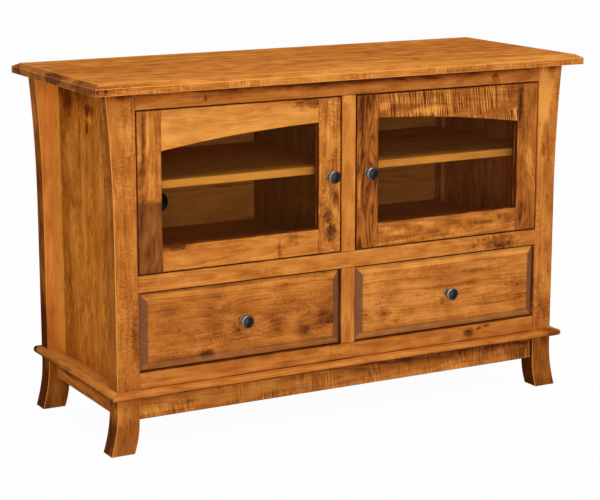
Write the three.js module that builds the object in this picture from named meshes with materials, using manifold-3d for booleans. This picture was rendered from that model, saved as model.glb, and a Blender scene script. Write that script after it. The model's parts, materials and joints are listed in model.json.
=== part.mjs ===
// A media cabinet in rustic maple: two glass doors over two drawers, on a moulded base with flared feet.
// Millimetres, +Z up. The origin is on the floor, under the middle of the top, and the front faces -Y.
import * as THREE from "three";
import { mergeVertices } from "three/addons/utils/BufferGeometryUtils.js";
import Module from "manifold-3d";

// Top board
const HEIGHT = 830;
const TOP_LENGTH = 1270;
const TOP_DEPTH = 502;
const TOP_THICKNESS = 24;
const TOP_BEVEL_WIDTH = 16;
const TOP_BEVEL_DROP = 8;
const END_OVERHANG = 51;
const FRONT_OVERHANG = 36;
const REAR_OVERHANG = 6;

// Corner posts, whose outer faces sweep outwards below the top
const POST_WIDTH = 54;
const FRONT_POST_DEPTH = 48;
const REAR_POST_DEPTH = 40;
const POST_FLARE = 14;
const POST_FLARE_LENGTH = 310;

// Base: a flat mitred moulding on skirts and four sabre feet
const BASE_HEIGHT = 146;
const MOULDING_THICKNESS = 16;
const MOULDING_PROJECTION = 19;
const MOULDING_NOSE = 7;
const MOULDING_REAR_OVERHANG = 4;
const FOOT_WIDTH = 52;
const FOOT_DEPTH = 47;
const FOOT_FLARE = 18;
const FOOT_FLARE_LENGTH = 110;
const FOOT_TOE_FLARE = 13;
const SKIRT_HEIGHT = 55;
const SKIRT_THICKNESS = 19;
const FRONT_SKIRT_SETBACK = 10;
const SIDE_SKIRT_SETBACK = 19;

// Face frame, flush with the fronts of the front posts
const FRAME_THICKNESS = 20;
const TOP_RAIL_HEIGHT = 39;
const MIDDLE_RAIL_HEIGHT = 39;
const BOTTOM_RAIL_HEIGHT = 39;
const CENTRE_STILE_WIDTH = 38;
const DRAWER_OPENING_HEIGHT = 180;

// Case boards
const PANEL_THICKNESS = 19;
const PANEL_RECESS = 24;
const DECK_THICKNESS = 19;
const PARTITION_THICKNESS = 19;
const PARTITION_SLOT_SHARE = 0.5;
const HOUSING_DEPTH = 5;
const BACK_THICKNESS = 6;
const BACK_RECESS = 2;
const BACK_LAP = 10;
const CABLE_HOLE_DIAMETER = 54;
const CABLE_HOLE_RISE = 65;
const SHELF_THICKNESS = 18;
const SHELF_SETBACK = 50;
const SHELF_HEIGHT_SHARE = 0.443;

// Doors, inset in the face frame; the pair share one arch
const DOOR_GAP = 2;
const DOOR_THICKNESS = 20;
const DOOR_STILE_WIDTH = 58;
const DOOR_BOTTOM_RAIL_HEIGHT = 58;
const DOOR_ARCH_RAIL_HEIGHT = 55;
const DOOR_ARCH_RISE = 36;
const GLASS_THICKNESS = 4;
const GLASS_LIP = 9;
const GLASS_LAP = 8;
const GLASS_PLAY = 1;

// Concealed door hinges: the plate, arm and knuckle that stay on the case
const HINGE_END_DISTANCE = 76;
const HINGE_PLATE_HEIGHT = 48;
const HINGE_PLATE_THICKNESS = 4;
const HINGE_PLATE_DEPTH = 25;
const HINGE_ARM_HEIGHT = 16;
const HINGE_ARM_THICKNESS = 9;
const HINGE_ARM_LENGTH = 60;
const HINGE_KNUCKLE_REACH = 36;
const HINGE_KNUCKLE_DEPTH = 11;

// Drawers, inset like the doors, hung on wooden runners
const DRAWER_GAP = 2;
const DRAWER_FRONT_THICKNESS = 20;
const DRAWER_BEVEL_WIDTH = 19;
const DRAWER_BEVEL_DROP = 8;
const DRAWER_REAR_GAP = 22;
const DRAWER_BOX_INSET = 3;
const DRAWER_BOX_LIFT = 5;
const DRAWER_BOX_HEIGHT = 150;
const DRAWER_WALL = 14;
const DRAWER_BOTTOM_THICKNESS = 6;
const DRAWER_BOTTOM_LIFT = 11;
const DRAWER_BOTTOM_GROOVE = 5;
const RUNNER_HEIGHT = 20;
const RUNNER_GROOVE = 6;
const RUNNER_HEIGHT_SHARE = 0.5;

// Knobs: mushroom heads on a necked stem
const KNOB_DIAMETER = 30;
const KNOB_PROJECTION = 27;
const KNOB_FOOT_DIAMETER = 17;
const KNOB_NECK_DIAMETER = 11;
const KNOB_HEAD_THICKNESS = 11;
const KNOB_RING_DEPTH = 1.2;
const KNOB_RING_SHARE = 0.8;
const KNOB_BACK_SHARE = 0.78;
const KNOB_RIM_SHARE = 1 / 3;
const KNOB_FOOT_THICKNESS = 4;

// Clearances and the overrun of every cut
const FIT = 0.3;
const OVERRUN = 2;
const CURVE_STEPS = 12;
const ROUND_STEPS = 32;

// Levels from the floor up
const topUnderside = HEIGHT - TOP_THICKNESS;
const mouldingUnderside = BASE_HEIGHT - MOULDING_THICKNESS;
const skirtUnderside = mouldingUnderside - SKIRT_HEIGHT;
const drawerOpeningBottom = BASE_HEIGHT + BOTTOM_RAIL_HEIGHT;
const drawerOpeningTop = drawerOpeningBottom + DRAWER_OPENING_HEIGHT;
const deckTop = drawerOpeningTop + MIDDLE_RAIL_HEIGHT;
const doorOpeningTop = topUnderside - TOP_RAIL_HEIGHT;
const shelfBottom = deckTop + (topUnderside - deckTop) * SHELF_HEIGHT_SHARE;

// Planes from front to back
const frontY = -TOP_DEPTH / 2 + FRONT_OVERHANG;
const frameBackY = frontY + FRAME_THICKNESS;
const frontPostBackY = frontY + FRONT_POST_DEPTH;
const rearY = TOP_DEPTH / 2 - REAR_OVERHANG;
const rearPostFrontY = rearY - REAR_POST_DEPTH;
const backPanelFrontY = rearY - BACK_RECESS - BACK_THICKNESS;
const shelfFrontY = frontY + SHELF_SETBACK;

// Planes from the middle out
const stileX = CENTRE_STILE_WIDTH / 2;
const partitionX = PARTITION_THICKNESS / 2;
const postOuterX = TOP_LENGTH / 2 - END_OVERHANG;
const postInnerX = postOuterX - POST_WIDTH;
const footInnerX = postOuterX - FOOT_WIDTH;
const panelOuterX = postOuterX - PANEL_RECESS;
const panelInnerX = panelOuterX - PANEL_THICKNESS;
const housingX = panelInnerX + HOUSING_DEPTH;
const mouldingX = postOuterX + MOULDING_PROJECTION;
const mouldingFrontY = frontY - MOULDING_PROJECTION;
const mouldingWidth = FOOT_WIDTH + MOULDING_PROJECTION;

// Doors and drawers in their openings
const doorOuterX = postInnerX - DOOR_GAP;
const doorInnerX = stileX + DOOR_GAP;
const doorWidth = doorOuterX - doorInnerX;
const doorBottom = deckTop + DOOR_GAP;
const doorHeight = doorOpeningTop - DOOR_GAP - doorBottom;
const drawerWidth = postInnerX - stileX - 2 * DRAWER_GAP;
const drawerCentreX = (postInnerX + stileX) / 2;
const drawerFrontHeight = DRAWER_OPENING_HEIGHT - 2 * DRAWER_GAP;
const drawerBoxX = drawerWidth / 2 - DRAWER_BOX_INSET;
const drawerLength = backPanelFrontY - DRAWER_REAR_GAP - frontY;
const runnerRise = DRAWER_BOX_LIFT + DRAWER_BOX_HEIGHT * RUNNER_HEIGHT_SHARE;

const sides = [
  { name: "left", sign: -1 },
  { name: "right", sign: 1 },
];

const finish = {
  maple: { color: 0xb56d2e, roughness: 0.42, metalness: 0 },
  mapleLight: { color: 0xc98544, roughness: 0.42, metalness: 0 },
  mapleDark: { color: 0x8f5222, roughness: 0.45, metalness: 0 },
  drawerWood: { color: 0xd9b98a, roughness: 0.55, metalness: 0 },
  plywood: { color: 0xa87444, roughness: 0.6, metalness: 0 },
  glass: { color: 0xdfe9e6, roughness: 0.05, metalness: 0, transparent: true, opacity: 0.25 },
  gunmetal: { color: 0x2e3136, roughness: 0.35, metalness: 0.9 },
  nickel: { color: 0xb9bcc0, roughness: 0.3, metalness: 1 },
};

const wasm = await Module();
wasm.setup();

// Joining and cutting of closed geometries
function toSolid(geometry) {
  const bare = geometry.clone();
  bare.deleteAttribute("normal");
  bare.deleteAttribute("uv");
  const merged = mergeVertices(bare);
  return new wasm.Manifold(
    new wasm.Mesh({
      numProp: 3,
      vertProperties: merged.attributes.position.array,
      triVerts: Uint32Array.from(merged.index.array),
    }),
  );
}

function toGeometry(solid) {
  const mesh = solid.getMesh();
  const geometry = new THREE.BufferGeometry();
  geometry.setAttribute("position", new THREE.BufferAttribute(mesh.vertProperties, 3));
  geometry.setIndex(new THREE.BufferAttribute(mesh.triVerts, 1));
  geometry.computeVertexNormals();
  return geometry;
}

function cut(geometry, ...tools) {
  let solid = toSolid(geometry);
  for (const tool of tools) solid = solid.subtract(toSolid(tool));
  return toGeometry(solid);
}

function common(first, second) {
  return toGeometry(toSolid(first).intersect(toSolid(second)));
}

function join(first, second) {
  return toGeometry(toSolid(first).add(toSolid(second)));
}

// A box between two planes on each axis; the planes of a pair may come in either order
function box([x0, x1], [y0, y1], [z0, z1]) {
  const geometry = new THREE.BoxGeometry(Math.abs(x1 - x0), Math.abs(y1 - y0), Math.abs(z1 - z0));
  return geometry.translate((x0 + x1) / 2, (y0 + y1) / 2, (z0 + z1) / 2);
}

function outline(points) {
  return new THREE.Shape(points.map(([a, b]) => new THREE.Vector2(a, b)));
}

function extrude(shape, depth) {
  return new THREE.ExtrudeGeometry(shape, {
    depth,
    bevelEnabled: false,
    curveSegments: CURVE_STEPS,
  });
}

// Outlines drawn in (y, z), (x, z) and (x, y), and extruded along the third axis
function alongX(shape, x0, x1) {
  const turn = new THREE.Matrix4().set(0, 0, 1, x0, 1, 0, 0, 0, 0, 1, 0, 0, 0, 0, 0, 1);
  return extrude(shape, x1 - x0).applyMatrix4(turn);
}

function alongY(shape, y0, y1) {
  return extrude(shape, y1 - y0)
    .rotateX(Math.PI / 2)
    .translate(0, y1, 0);
}

function alongZ(shape, z0, z1) {
  return extrude(shape, z1 - z0).translate(0, 0, z0);
}

function piece(name, geometry, look) {
  const mesh = new THREE.Mesh(geometry, new THREE.MeshStandardMaterial(look));
  mesh.name = name;
  return mesh;
}

// A board whose front face is bevelled on all four edges: the front is at y = 0 and the board runs back
function bevelledBoard(width, height, thickness, bevelWidth, bevelDrop) {
  const half = width / 2;
  const plan = outline([
    [-half, bevelDrop],
    [-half + bevelWidth, 0],
    [half - bevelWidth, 0],
    [half, bevelDrop],
    [half, thickness],
    [-half, thickness],
  ]);
  const section = outline([
    [bevelDrop, 0],
    [thickness, 0],
    [thickness, height],
    [bevelDrop, height],
    [0, height - bevelWidth],
    [0, bevelWidth],
  ]);
  return common(alongZ(plan, 0, height), alongX(section, -half, half));
}

// The top lies on the posts, its bevelled face up
function topBoard() {
  const geometry = bevelledBoard(TOP_LENGTH, TOP_DEPTH, TOP_THICKNESS, TOP_BEVEL_WIDTH, TOP_BEVEL_DROP);
  const mesh = piece("top_board", geometry, finish.mapleLight);
  mesh.rotation.x = -Math.PI / 2;
  mesh.position.set(0, -TOP_DEPTH / 2, HEIGHT);
  return mesh;
}

// A post is straight inside and sweeps out towards the top outside; it stands on the moulding
function postGeometry(sign, y0, y1) {
  const flareStart = topUnderside - POST_FLARE_LENGTH;
  const shape = new THREE.Shape();
  shape.moveTo(sign * postInnerX, BASE_HEIGHT);
  shape.lineTo(sign * postOuterX, BASE_HEIGHT);
  shape.lineTo(sign * postOuterX, flareStart);
  shape.quadraticCurveTo(
    sign * postOuterX,
    (flareStart + topUnderside) / 2,
    sign * (postOuterX + POST_FLARE),
    topUnderside,
  );
  shape.lineTo(sign * postInnerX, topUnderside);
  shape.closePath();
  return alongY(shape, y0, y1);
}

function frontPost({ name, sign }) {
  return piece(`post_front_${name}`, postGeometry(sign, frontY, frontPostBackY), finish.maple);
}

// The rear posts are rebated for the back panel
function rearPost({ name, sign }) {
  const rebate = box(
    [sign * (postInnerX - OVERRUN), sign * (postInnerX + BACK_LAP + FIT)],
    [backPanelFrontY, rearY + OVERRUN],
    [BASE_HEIGHT - OVERRUN, topUnderside + OVERRUN],
  );
  const geometry = cut(postGeometry(sign, rearPostFrontY, rearY), rebate);
  return piece(`post_rear_${name}`, geometry, finish.maple);
}

// A foot carries on the line of its post and sweeps out towards the floor
function foot({ name, sign }, place, y0) {
  const shape = new THREE.Shape();
  shape.moveTo(sign * (footInnerX + FOOT_TOE_FLARE), 0);
  shape.quadraticCurveTo(sign * footInnerX, skirtUnderside / 2, sign * footInnerX, skirtUnderside);
  shape.lineTo(sign * footInnerX, mouldingUnderside);
  shape.lineTo(sign * postOuterX, mouldingUnderside);
  shape.lineTo(sign * postOuterX, FOOT_FLARE_LENGTH);
  shape.quadraticCurveTo(
    sign * postOuterX,
    FOOT_FLARE_LENGTH / 2,
    sign * (postOuterX + FOOT_FLARE),
    0,
  );
  shape.closePath();
  return piece(`foot_${place}_${name}`, alongY(shape, y0, y0 + FOOT_DEPTH), finish.maple);
}

// Section of the moulding, drawn outwards from its inner edge: a flat strip with a round nose
function mouldingSection(direction, innerEdge) {
  const nose = innerEdge + direction * mouldingWidth;
  const shoulder = nose - direction * MOULDING_NOSE;
  const shape = new THREE.Shape();
  shape.moveTo(innerEdge, mouldingUnderside);
  shape.lineTo(shoulder, mouldingUnderside);
  shape.quadraticCurveTo(nose, mouldingUnderside, nose, mouldingUnderside + MOULDING_NOSE);
  shape.lineTo(nose, BASE_HEIGHT - MOULDING_NOSE);
  shape.quadraticCurveTo(nose, BASE_HEIGHT, shoulder, BASE_HEIGHT);
  shape.lineTo(innerEdge, BASE_HEIGHT);
  shape.closePath();
  return shape;
}

function frontMoulding() {
  const backEdge = mouldingFrontY + mouldingWidth;
  const plan = outline([
    [-mouldingX, mouldingFrontY],
    [mouldingX, mouldingFrontY],
    [mouldingX - mouldingWidth, backEdge],
    [-mouldingX + mouldingWidth, backEdge],
  ]);
  const strip = alongX(mouldingSection(-1, backEdge), -mouldingX, mouldingX);
  const geometry = common(strip, alongZ(plan, mouldingUnderside, BASE_HEIGHT));
  return piece("base_moulding_front", geometry, finish.mapleLight);
}

function sideMoulding({ name, sign }) {
  const innerEdge = mouldingX - mouldingWidth;
  const endY = rearY + MOULDING_REAR_OVERHANG;
  const mitre = mouldingFrontY + 2 * FIT;
  const plan = outline([
    [sign * mouldingX, mitre],
    [sign * mouldingX, endY],
    [sign * innerEdge, endY],
    [sign * innerEdge, mitre + mouldingWidth],
  ]);
  const strip = alongY(mouldingSection(sign, sign * innerEdge), mouldingFrontY, endY);
  const geometry = common(strip, alongZ(plan, mouldingUnderside, BASE_HEIGHT));
  return piece(`base_moulding_${name}`, geometry, finish.mapleLight);
}

// Skirts hang under the moulding between the feet, set back from their faces
function frontSkirt() {
  const y0 = frontY + FRONT_SKIRT_SETBACK;
  const geometry = box(
    [-footInnerX, footInnerX],
    [y0, y0 + SKIRT_THICKNESS],
    [skirtUnderside, mouldingUnderside],
  );
  return piece("skirt_front", geometry, finish.maple);
}

function sideSkirt({ name, sign }) {
  const outer = postOuterX - SIDE_SKIRT_SETBACK;
  const geometry = box(
    [sign * (outer - SKIRT_THICKNESS), sign * outer],
    [frontY + FOOT_DEPTH, rearY - FOOT_DEPTH],
    [skirtUnderside, mouldingUnderside],
  );
  return piece(`skirt_${name}`, geometry, finish.maple);
}

// The rear skirt also closes the moulding frame, and the back panel stands on it
function rearSkirt() {
  const geometry = box(
    [-footInnerX, footInnerX],
    [rearY - SKIRT_THICKNESS, rearY],
    [skirtUnderside, BASE_HEIGHT],
  );
  return piece("skirt_rear", geometry, finish.mapleDark);
}

function rail(name, z0, z1) {
  const geometry = box([-postInnerX, postInnerX], [frontY, frameBackY], [z0, z1]);
  return piece(name, geometry, finish.maple);
}

function centreStile(name, z0, z1) {
  const geometry = box([-stileX, stileX], [frontY, frameBackY], [z0, z1]);
  return piece(name, geometry, finish.maple);
}

// The side panels have housings on the inside for the deck and a shelf
function sidePanel({ name, sign }) {
  const panel = box(
    [sign * panelInnerX, sign * panelOuterX],
    [frontPostBackY, rearPostFrontY],
    [BASE_HEIGHT, topUnderside],
  );
  const depth = [sign * (panelInnerX - OVERRUN), sign * (housingX + FIT)];
  const deckHousing = box(
    depth,
    [frontPostBackY - OVERRUN, rearPostFrontY + OVERRUN],
    [deckTop - DECK_THICKNESS - FIT, deckTop + FIT],
  );
  const shelfHousing = box(
    depth,
    [shelfFrontY - FIT, rearPostFrontY + OVERRUN],
    [shelfBottom - FIT, shelfBottom + SHELF_THICKNESS + FIT],
  );
  return piece(`side_panel_${name}`, cut(panel, deckHousing, shelfHousing), finish.maple);
}

// Deck and partition cross in half-lap slots: the deck's is open at the front, the partition's at the back
const crossingY = frameBackY + (backPanelFrontY - frameBackY) * PARTITION_SLOT_SHARE;

function deckBoard() {
  const slotX = partitionX + FIT;
  const half = [
    [slotX, crossingY],
    [slotX, frameBackY],
    [postInnerX, frameBackY],
    [postInnerX, frontPostBackY],
    [housingX, frontPostBackY],
    [housingX, rearPostFrontY],
    [postInnerX, rearPostFrontY],
    [postInnerX, backPanelFrontY],
  ];
  const mirrored = half.map(([x, y]) => [-x, y]).reverse();
  const geometry = alongZ(outline([...half, ...mirrored]), deckTop - DECK_THICKNESS, deckTop);
  return piece("deck_board", geometry, finish.mapleDark);
}

function centrePartition() {
  const slotY = crossingY - FIT;
  const section = outline([
    [frameBackY, BASE_HEIGHT],
    [backPanelFrontY, BASE_HEIGHT],
    [backPanelFrontY, deckTop - DECK_THICKNESS - FIT],
    [slotY, deckTop - DECK_THICKNESS - FIT],
    [slotY, deckTop + FIT],
    [backPanelFrontY, deckTop + FIT],
    [backPanelFrontY, topUnderside],
    [frameBackY, topUnderside],
  ]);
  const housings = sides.map(({ sign }) =>
    box(
      [sign * (partitionX - HOUSING_DEPTH), sign * (partitionX + OVERRUN)],
      [shelfFrontY - FIT, backPanelFrontY + OVERRUN],
      [shelfBottom - FIT, shelfBottom + SHELF_THICKNESS + FIT],
    ),
  );
  const geometry = cut(alongX(section, -partitionX, partitionX), ...housings);
  return piece("centre_partition", geometry, finish.mapleDark);
}

function shelf({ name, sign }) {
  const inner = partitionX - HOUSING_DEPTH + FIT;
  const shape = outline([
    [sign * inner, shelfFrontY],
    [sign * housingX, shelfFrontY],
    [sign * housingX, rearPostFrontY],
    [sign * postInnerX, rearPostFrontY],
    [sign * postInnerX, backPanelFrontY],
    [sign * inner, backPanelFrontY],
  ]);
  const geometry = alongZ(shape, shelfBottom, shelfBottom + SHELF_THICKNESS);
  return piece(`shelf_${name}`, geometry, finish.maple);
}

// One cable hole behind each bay
function backPanel() {
  const half = postInnerX + BACK_LAP;
  const shape = outline([
    [-half, BASE_HEIGHT],
    [half, BASE_HEIGHT],
    [half, topUnderside],
    [-half, topUnderside],
  ]);
  for (const { sign } of sides) {
    const hole = new THREE.Path();
    const centreX = sign * drawerCentreX;
    hole.absarc(centreX, deckTop + CABLE_HOLE_RISE, CABLE_HOLE_DIAMETER / 2, 0, 2 * Math.PI);
    shape.holes.push(hole);
  }
  const geometry = alongY(shape, backPanelFrontY, backPanelFrontY + BACK_THICKNESS);
  return piece("back_panel", geometry, finish.plywood);
}

// Plate on the post, arm along it, and knuckle over the door's cup
function hinge({ name, sign }, place, z) {
  const doorBackY = frontY + DOOR_THICKNESS + FIT;
  const plateX = postInnerX - HINGE_PLATE_THICKNESS;
  const armX = plateX - HINGE_ARM_THICKNESS;
  const knuckleX = postInnerX - HINGE_KNUCKLE_REACH;
  const plan = outline([
    [sign * knuckleX, doorBackY],
    [sign * plateX, doorBackY],
    [sign * plateX, doorBackY + HINGE_ARM_LENGTH],
    [sign * armX, doorBackY + HINGE_ARM_LENGTH],
    [sign * armX, doorBackY + HINGE_KNUCKLE_DEPTH],
    [sign * knuckleX, doorBackY + HINGE_KNUCKLE_DEPTH],
  ]);
  const arm = alongZ(plan, z - HINGE_ARM_HEIGHT / 2, z + HINGE_ARM_HEIGHT / 2);
  const plate = box(
    [sign * plateX, sign * postInnerX],
    [doorBackY, doorBackY + HINGE_PLATE_DEPTH],
    [z - HINGE_PLATE_HEIGHT / 2, z + HINGE_PLATE_HEIGHT / 2],
  );
  return piece(`hinge_${name}_${place}`, join(arm, plate), finish.nickel);
}

// The knob's foot is on y = 0 and its head points to -Y
function knobGeometry() {
  const r = KNOB_DIAMETER / 2;
  const headBase = KNOB_PROJECTION - KNOB_HEAD_THICKNESS;
  const rimStart = headBase + KNOB_HEAD_THICKNESS * KNOB_RIM_SHARE;
  const rimEnd = KNOB_PROJECTION - KNOB_RING_DEPTH;
  const ringOuter = r * KNOB_RING_SHARE;
  const profile = [
    [0, 0],
    [KNOB_FOOT_DIAMETER / 2, 0],
    [KNOB_FOOT_DIAMETER / 2, KNOB_FOOT_THICKNESS],
    [KNOB_NECK_DIAMETER / 2, KNOB_FOOT_THICKNESS + KNOB_RING_DEPTH],
    [KNOB_NECK_DIAMETER / 2, headBase],
    [r * KNOB_BACK_SHARE, headBase + KNOB_RING_DEPTH],
    [r, rimStart],
    [r, rimEnd],
    [r - KNOB_RING_DEPTH, KNOB_PROJECTION],
    [ringOuter, KNOB_PROJECTION],
    [ringOuter - KNOB_RING_DEPTH, KNOB_PROJECTION - KNOB_RING_DEPTH],
    [0, KNOB_PROJECTION - KNOB_RING_DEPTH],
  ];
  const points = profile.map(([radius, height]) => new THREE.Vector2(radius, height));
  return new THREE.LatheGeometry(points, ROUND_STEPS).rotateX(Math.PI);
}

function knob(name, x, z) {
  const mesh = piece(name, knobGeometry(), finish.gunmetal);
  mesh.position.set(x, 0, z);
  return mesh;
}

// A door's frame, in the door's own group: x runs from the hinge edge towards the middle of the cabinet,
// y from the front face back and z up from the bottom edge
function door({ name, sign }) {
  const group = new THREE.Group();
  group.position.set(sign * doorOuterX, frontY, doorBottom);
  const inward = -sign;
  const openingFar = doorWidth - DOOR_STILE_WIDTH;
  const archTop = doorHeight - DOOR_ARCH_RAIL_HEIGHT;
  const pocket = box(
    [inward * (DOOR_STILE_WIDTH - GLASS_LAP), inward * (openingFar + GLASS_LAP)],
    [GLASS_LIP, DOOR_THICKNESS + OVERRUN],
    [DOOR_BOTTOM_RAIL_HEIGHT - GLASS_LAP, archTop + GLASS_LAP],
  );
  const member = (part, geometry) => {
    group.add(piece(`door_${name}_${part}`, cut(geometry, pocket), finish.maple));
  };
  const stile = (from) =>
    box([inward * from, inward * (from + DOOR_STILE_WIDTH)], [0, DOOR_THICKNESS], [0, doorHeight]);
  member("hinge_stile", stile(0));
  member("pull_stile", stile(openingFar));
  member(
    "bottom_rail",
    box(
      [inward * DOOR_STILE_WIDTH, inward * openingFar],
      [0, DOOR_THICKNESS],
      [0, DOOR_BOTTOM_RAIL_HEIGHT],
    ),
  );
  member("top_rail", alongY(archedRail(inward, openingFar, archTop), 0, DOOR_THICKNESS));
  group.add(glass(name, inward, openingFar, archTop));
  group.add(knob(`door_${name}_knob`, inward * (doorWidth - DOOR_STILE_WIDTH / 2), doorHeight / 2));
  return group;
}

// The lower edge is part of one circle for both doors, with its crown in the middle of the cabinet
function archedRail(inward, openingFar, archTop) {
  const reach = doorOuterX - DOOR_STILE_WIDTH;
  const radius = (reach * reach + DOOR_ARCH_RISE * DOOR_ARCH_RISE) / (2 * DOOR_ARCH_RISE);
  const crownX = inward * doorOuterX;
  const angleAt = (x) => Math.acos((x - crownX) / radius);
  const near = angleAt(inward * DOOR_STILE_WIDTH);
  const far = angleAt(inward * openingFar);
  const shape = new THREE.Shape();
  shape.moveTo(inward * openingFar, doorHeight);
  shape.lineTo(inward * DOOR_STILE_WIDTH, doorHeight);
  shape.absarc(crownX, archTop - radius, radius, near, far, inward > 0);
  shape.closePath();
  return shape;
}

function glass(name, inward, openingFar, archTop) {
  const lap = GLASS_LAP - GLASS_PLAY;
  const geometry = box(
    [inward * (DOOR_STILE_WIDTH - lap), inward * (openingFar + lap)],
    [GLASS_LIP + FIT, GLASS_LIP + FIT + GLASS_THICKNESS],
    [DOOR_BOTTOM_RAIL_HEIGHT - lap, archTop + lap],
  );
  return piece(`door_${name}_glass`, geometry, finish.glass);
}

// A drawer, in its own group: x from the drawer's middle, y from the front face back, z up from the
// opening's lower edge
function drawer(side) {
  const group = new THREE.Group();
  group.position.set(side.sign * drawerCentreX, frontY, drawerOpeningBottom);
  const front = piece(
    `drawer_${side.name}_front`,
    bevelledBoard(
      drawerWidth,
      drawerFrontHeight,
      DRAWER_FRONT_THICKNESS,
      DRAWER_BEVEL_WIDTH,
      DRAWER_BEVEL_DROP,
    ),
    finish.maple,
  );
  front.position.z = DRAWER_GAP;
  group.add(front);
  group.add(drawerSide(side, "outer", side.sign));
  group.add(drawerSide(side, "inner", -side.sign));
  group.add(drawerBack(side), drawerBottom(side));
  group.add(knob(`drawer_${side.name}_knob`, 0, DRAWER_OPENING_HEIGHT / 2));
  return group;
}

// A drawer side is grooved outside for its runner and inside for the drawer bottom
function drawerSide({ name }, place, outward) {
  const outer = drawerBoxX;
  const inner = drawerBoxX - DRAWER_WALL;
  const top = DRAWER_BOX_LIFT + DRAWER_BOX_HEIGHT;
  const runnerLow = runnerRise - RUNNER_HEIGHT / 2 - FIT;
  const runnerHigh = runnerRise + RUNNER_HEIGHT / 2 + FIT;
  const bottomLow = DRAWER_BOX_LIFT + DRAWER_BOTTOM_LIFT - FIT;
  const bottomHigh = DRAWER_BOX_LIFT + DRAWER_BOTTOM_LIFT + DRAWER_BOTTOM_THICKNESS + FIT;
  const section = [
    [inner, DRAWER_BOX_LIFT],
    [outer, DRAWER_BOX_LIFT],
    [outer, runnerLow],
    [outer - RUNNER_GROOVE, runnerLow],
    [outer - RUNNER_GROOVE, runnerHigh],
    [outer, runnerHigh],
    [outer, top],
    [inner, top],
    [inner, bottomHigh],
    [inner + DRAWER_BOTTOM_GROOVE, bottomHigh],
    [inner + DRAWER_BOTTOM_GROOVE, bottomLow],
    [inner, bottomLow],
  ].map(([x, z]) => [outward * x, z]);
  const geometry = alongY(outline(section), DRAWER_FRONT_THICKNESS, drawerLength);
  return piece(`drawer_${name}_${place}_side`, geometry, finish.drawerWood);
}

function drawerBack({ name }) {
  const half = drawerBoxX - DRAWER_WALL;
  const geometry = box(
    [-half, half],
    [drawerLength - DRAWER_WALL, drawerLength],
    [
      DRAWER_BOX_LIFT + DRAWER_BOTTOM_LIFT + DRAWER_BOTTOM_THICKNESS,
      DRAWER_BOX_LIFT + DRAWER_BOX_HEIGHT,
    ],
  );
  return piece(`drawer_${name}_back`, geometry, finish.drawerWood);
}

function drawerBottom({ name }) {
  const half = drawerBoxX - DRAWER_WALL + DRAWER_BOTTOM_GROOVE - FIT;
  const z0 = DRAWER_BOX_LIFT + DRAWER_BOTTOM_LIFT;
  const geometry = box(
    [-half, half],
    [DRAWER_FRONT_THICKNESS, drawerLength],
    [z0, z0 + DRAWER_BOTTOM_THICKNESS],
  );
  return piece(`drawer_${name}_bottom`, geometry, finish.plywood);
}

// The outer runner is fixed across both posts, the inner one to the partition
function runner({ name, sign }, place, seatX, grooveX) {
  const z = drawerOpeningBottom + runnerRise;
  const geometry = box(
    [sign * seatX, sign * grooveX],
    [frontY + DRAWER_FRONT_THICKNESS + FIT, backPanelFrontY],
    [z - RUNNER_HEIGHT / 2, z + RUNNER_HEIGHT / 2],
  );
  return piece(`drawer_runner_${name}_${place}`, geometry, finish.drawerWood);
}

function base() {
  const group = new THREE.Group();
  for (const side of sides) {
    group.add(foot(side, "front", frontY), foot(side, "rear", rearY - FOOT_DEPTH));
    group.add(sideSkirt(side), sideMoulding(side));
  }
  group.add(frontSkirt(), rearSkirt(), frontMoulding());
  return group;
}

function carcase() {
  const group = new THREE.Group();
  group.add(topBoard());
  for (const side of sides) group.add(frontPost(side), rearPost(side), sidePanel(side));
  group.add(rail("bottom_rail", BASE_HEIGHT, drawerOpeningBottom));
  group.add(rail("middle_rail", drawerOpeningTop, deckTop));
  group.add(rail("top_rail", doorOpeningTop, topUnderside));
  group.add(centreStile("lower_centre_stile", drawerOpeningBottom, drawerOpeningTop));
  group.add(centreStile("upper_centre_stile", deckTop, doorOpeningTop));
  group.add(deckBoard(), centrePartition(), backPanel());
  return group;
}

function fittings(side) {
  const group = new THREE.Group();
  const boxOuterX = drawerCentreX + drawerBoxX;
  const boxInnerX = drawerCentreX - drawerBoxX;
  group.add(shelf(side));
  group.add(runner(side, "outer", postInnerX, boxOuterX - RUNNER_GROOVE + FIT));
  group.add(runner(side, "inner", partitionX, boxInnerX + RUNNER_GROOVE - FIT));
  group.add(hinge(side, "lower", doorBottom + HINGE_END_DISTANCE));
  group.add(hinge(side, "upper", doorBottom + doorHeight - HINGE_END_DISTANCE));
  return group;
}

const cabinet = new THREE.Group();
cabinet.add(base(), carcase());
for (const side of sides) cabinet.add(fittings(side), door(side), drawer(side));

export default cabinet;
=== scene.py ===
# A media cabinet in rustic maple, finished piece by piece around its fixed construction frame.
# Everything is in metres, +Z up, with the cabinet's front facing -Y, as the frame is.
import json
import math
from contextlib import contextmanager
from dataclasses import dataclass

import bmesh
import bpy
from bpy.props import FloatProperty, FloatVectorProperty, IntProperty, PointerProperty
from mathutils import Matrix, Vector

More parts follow.
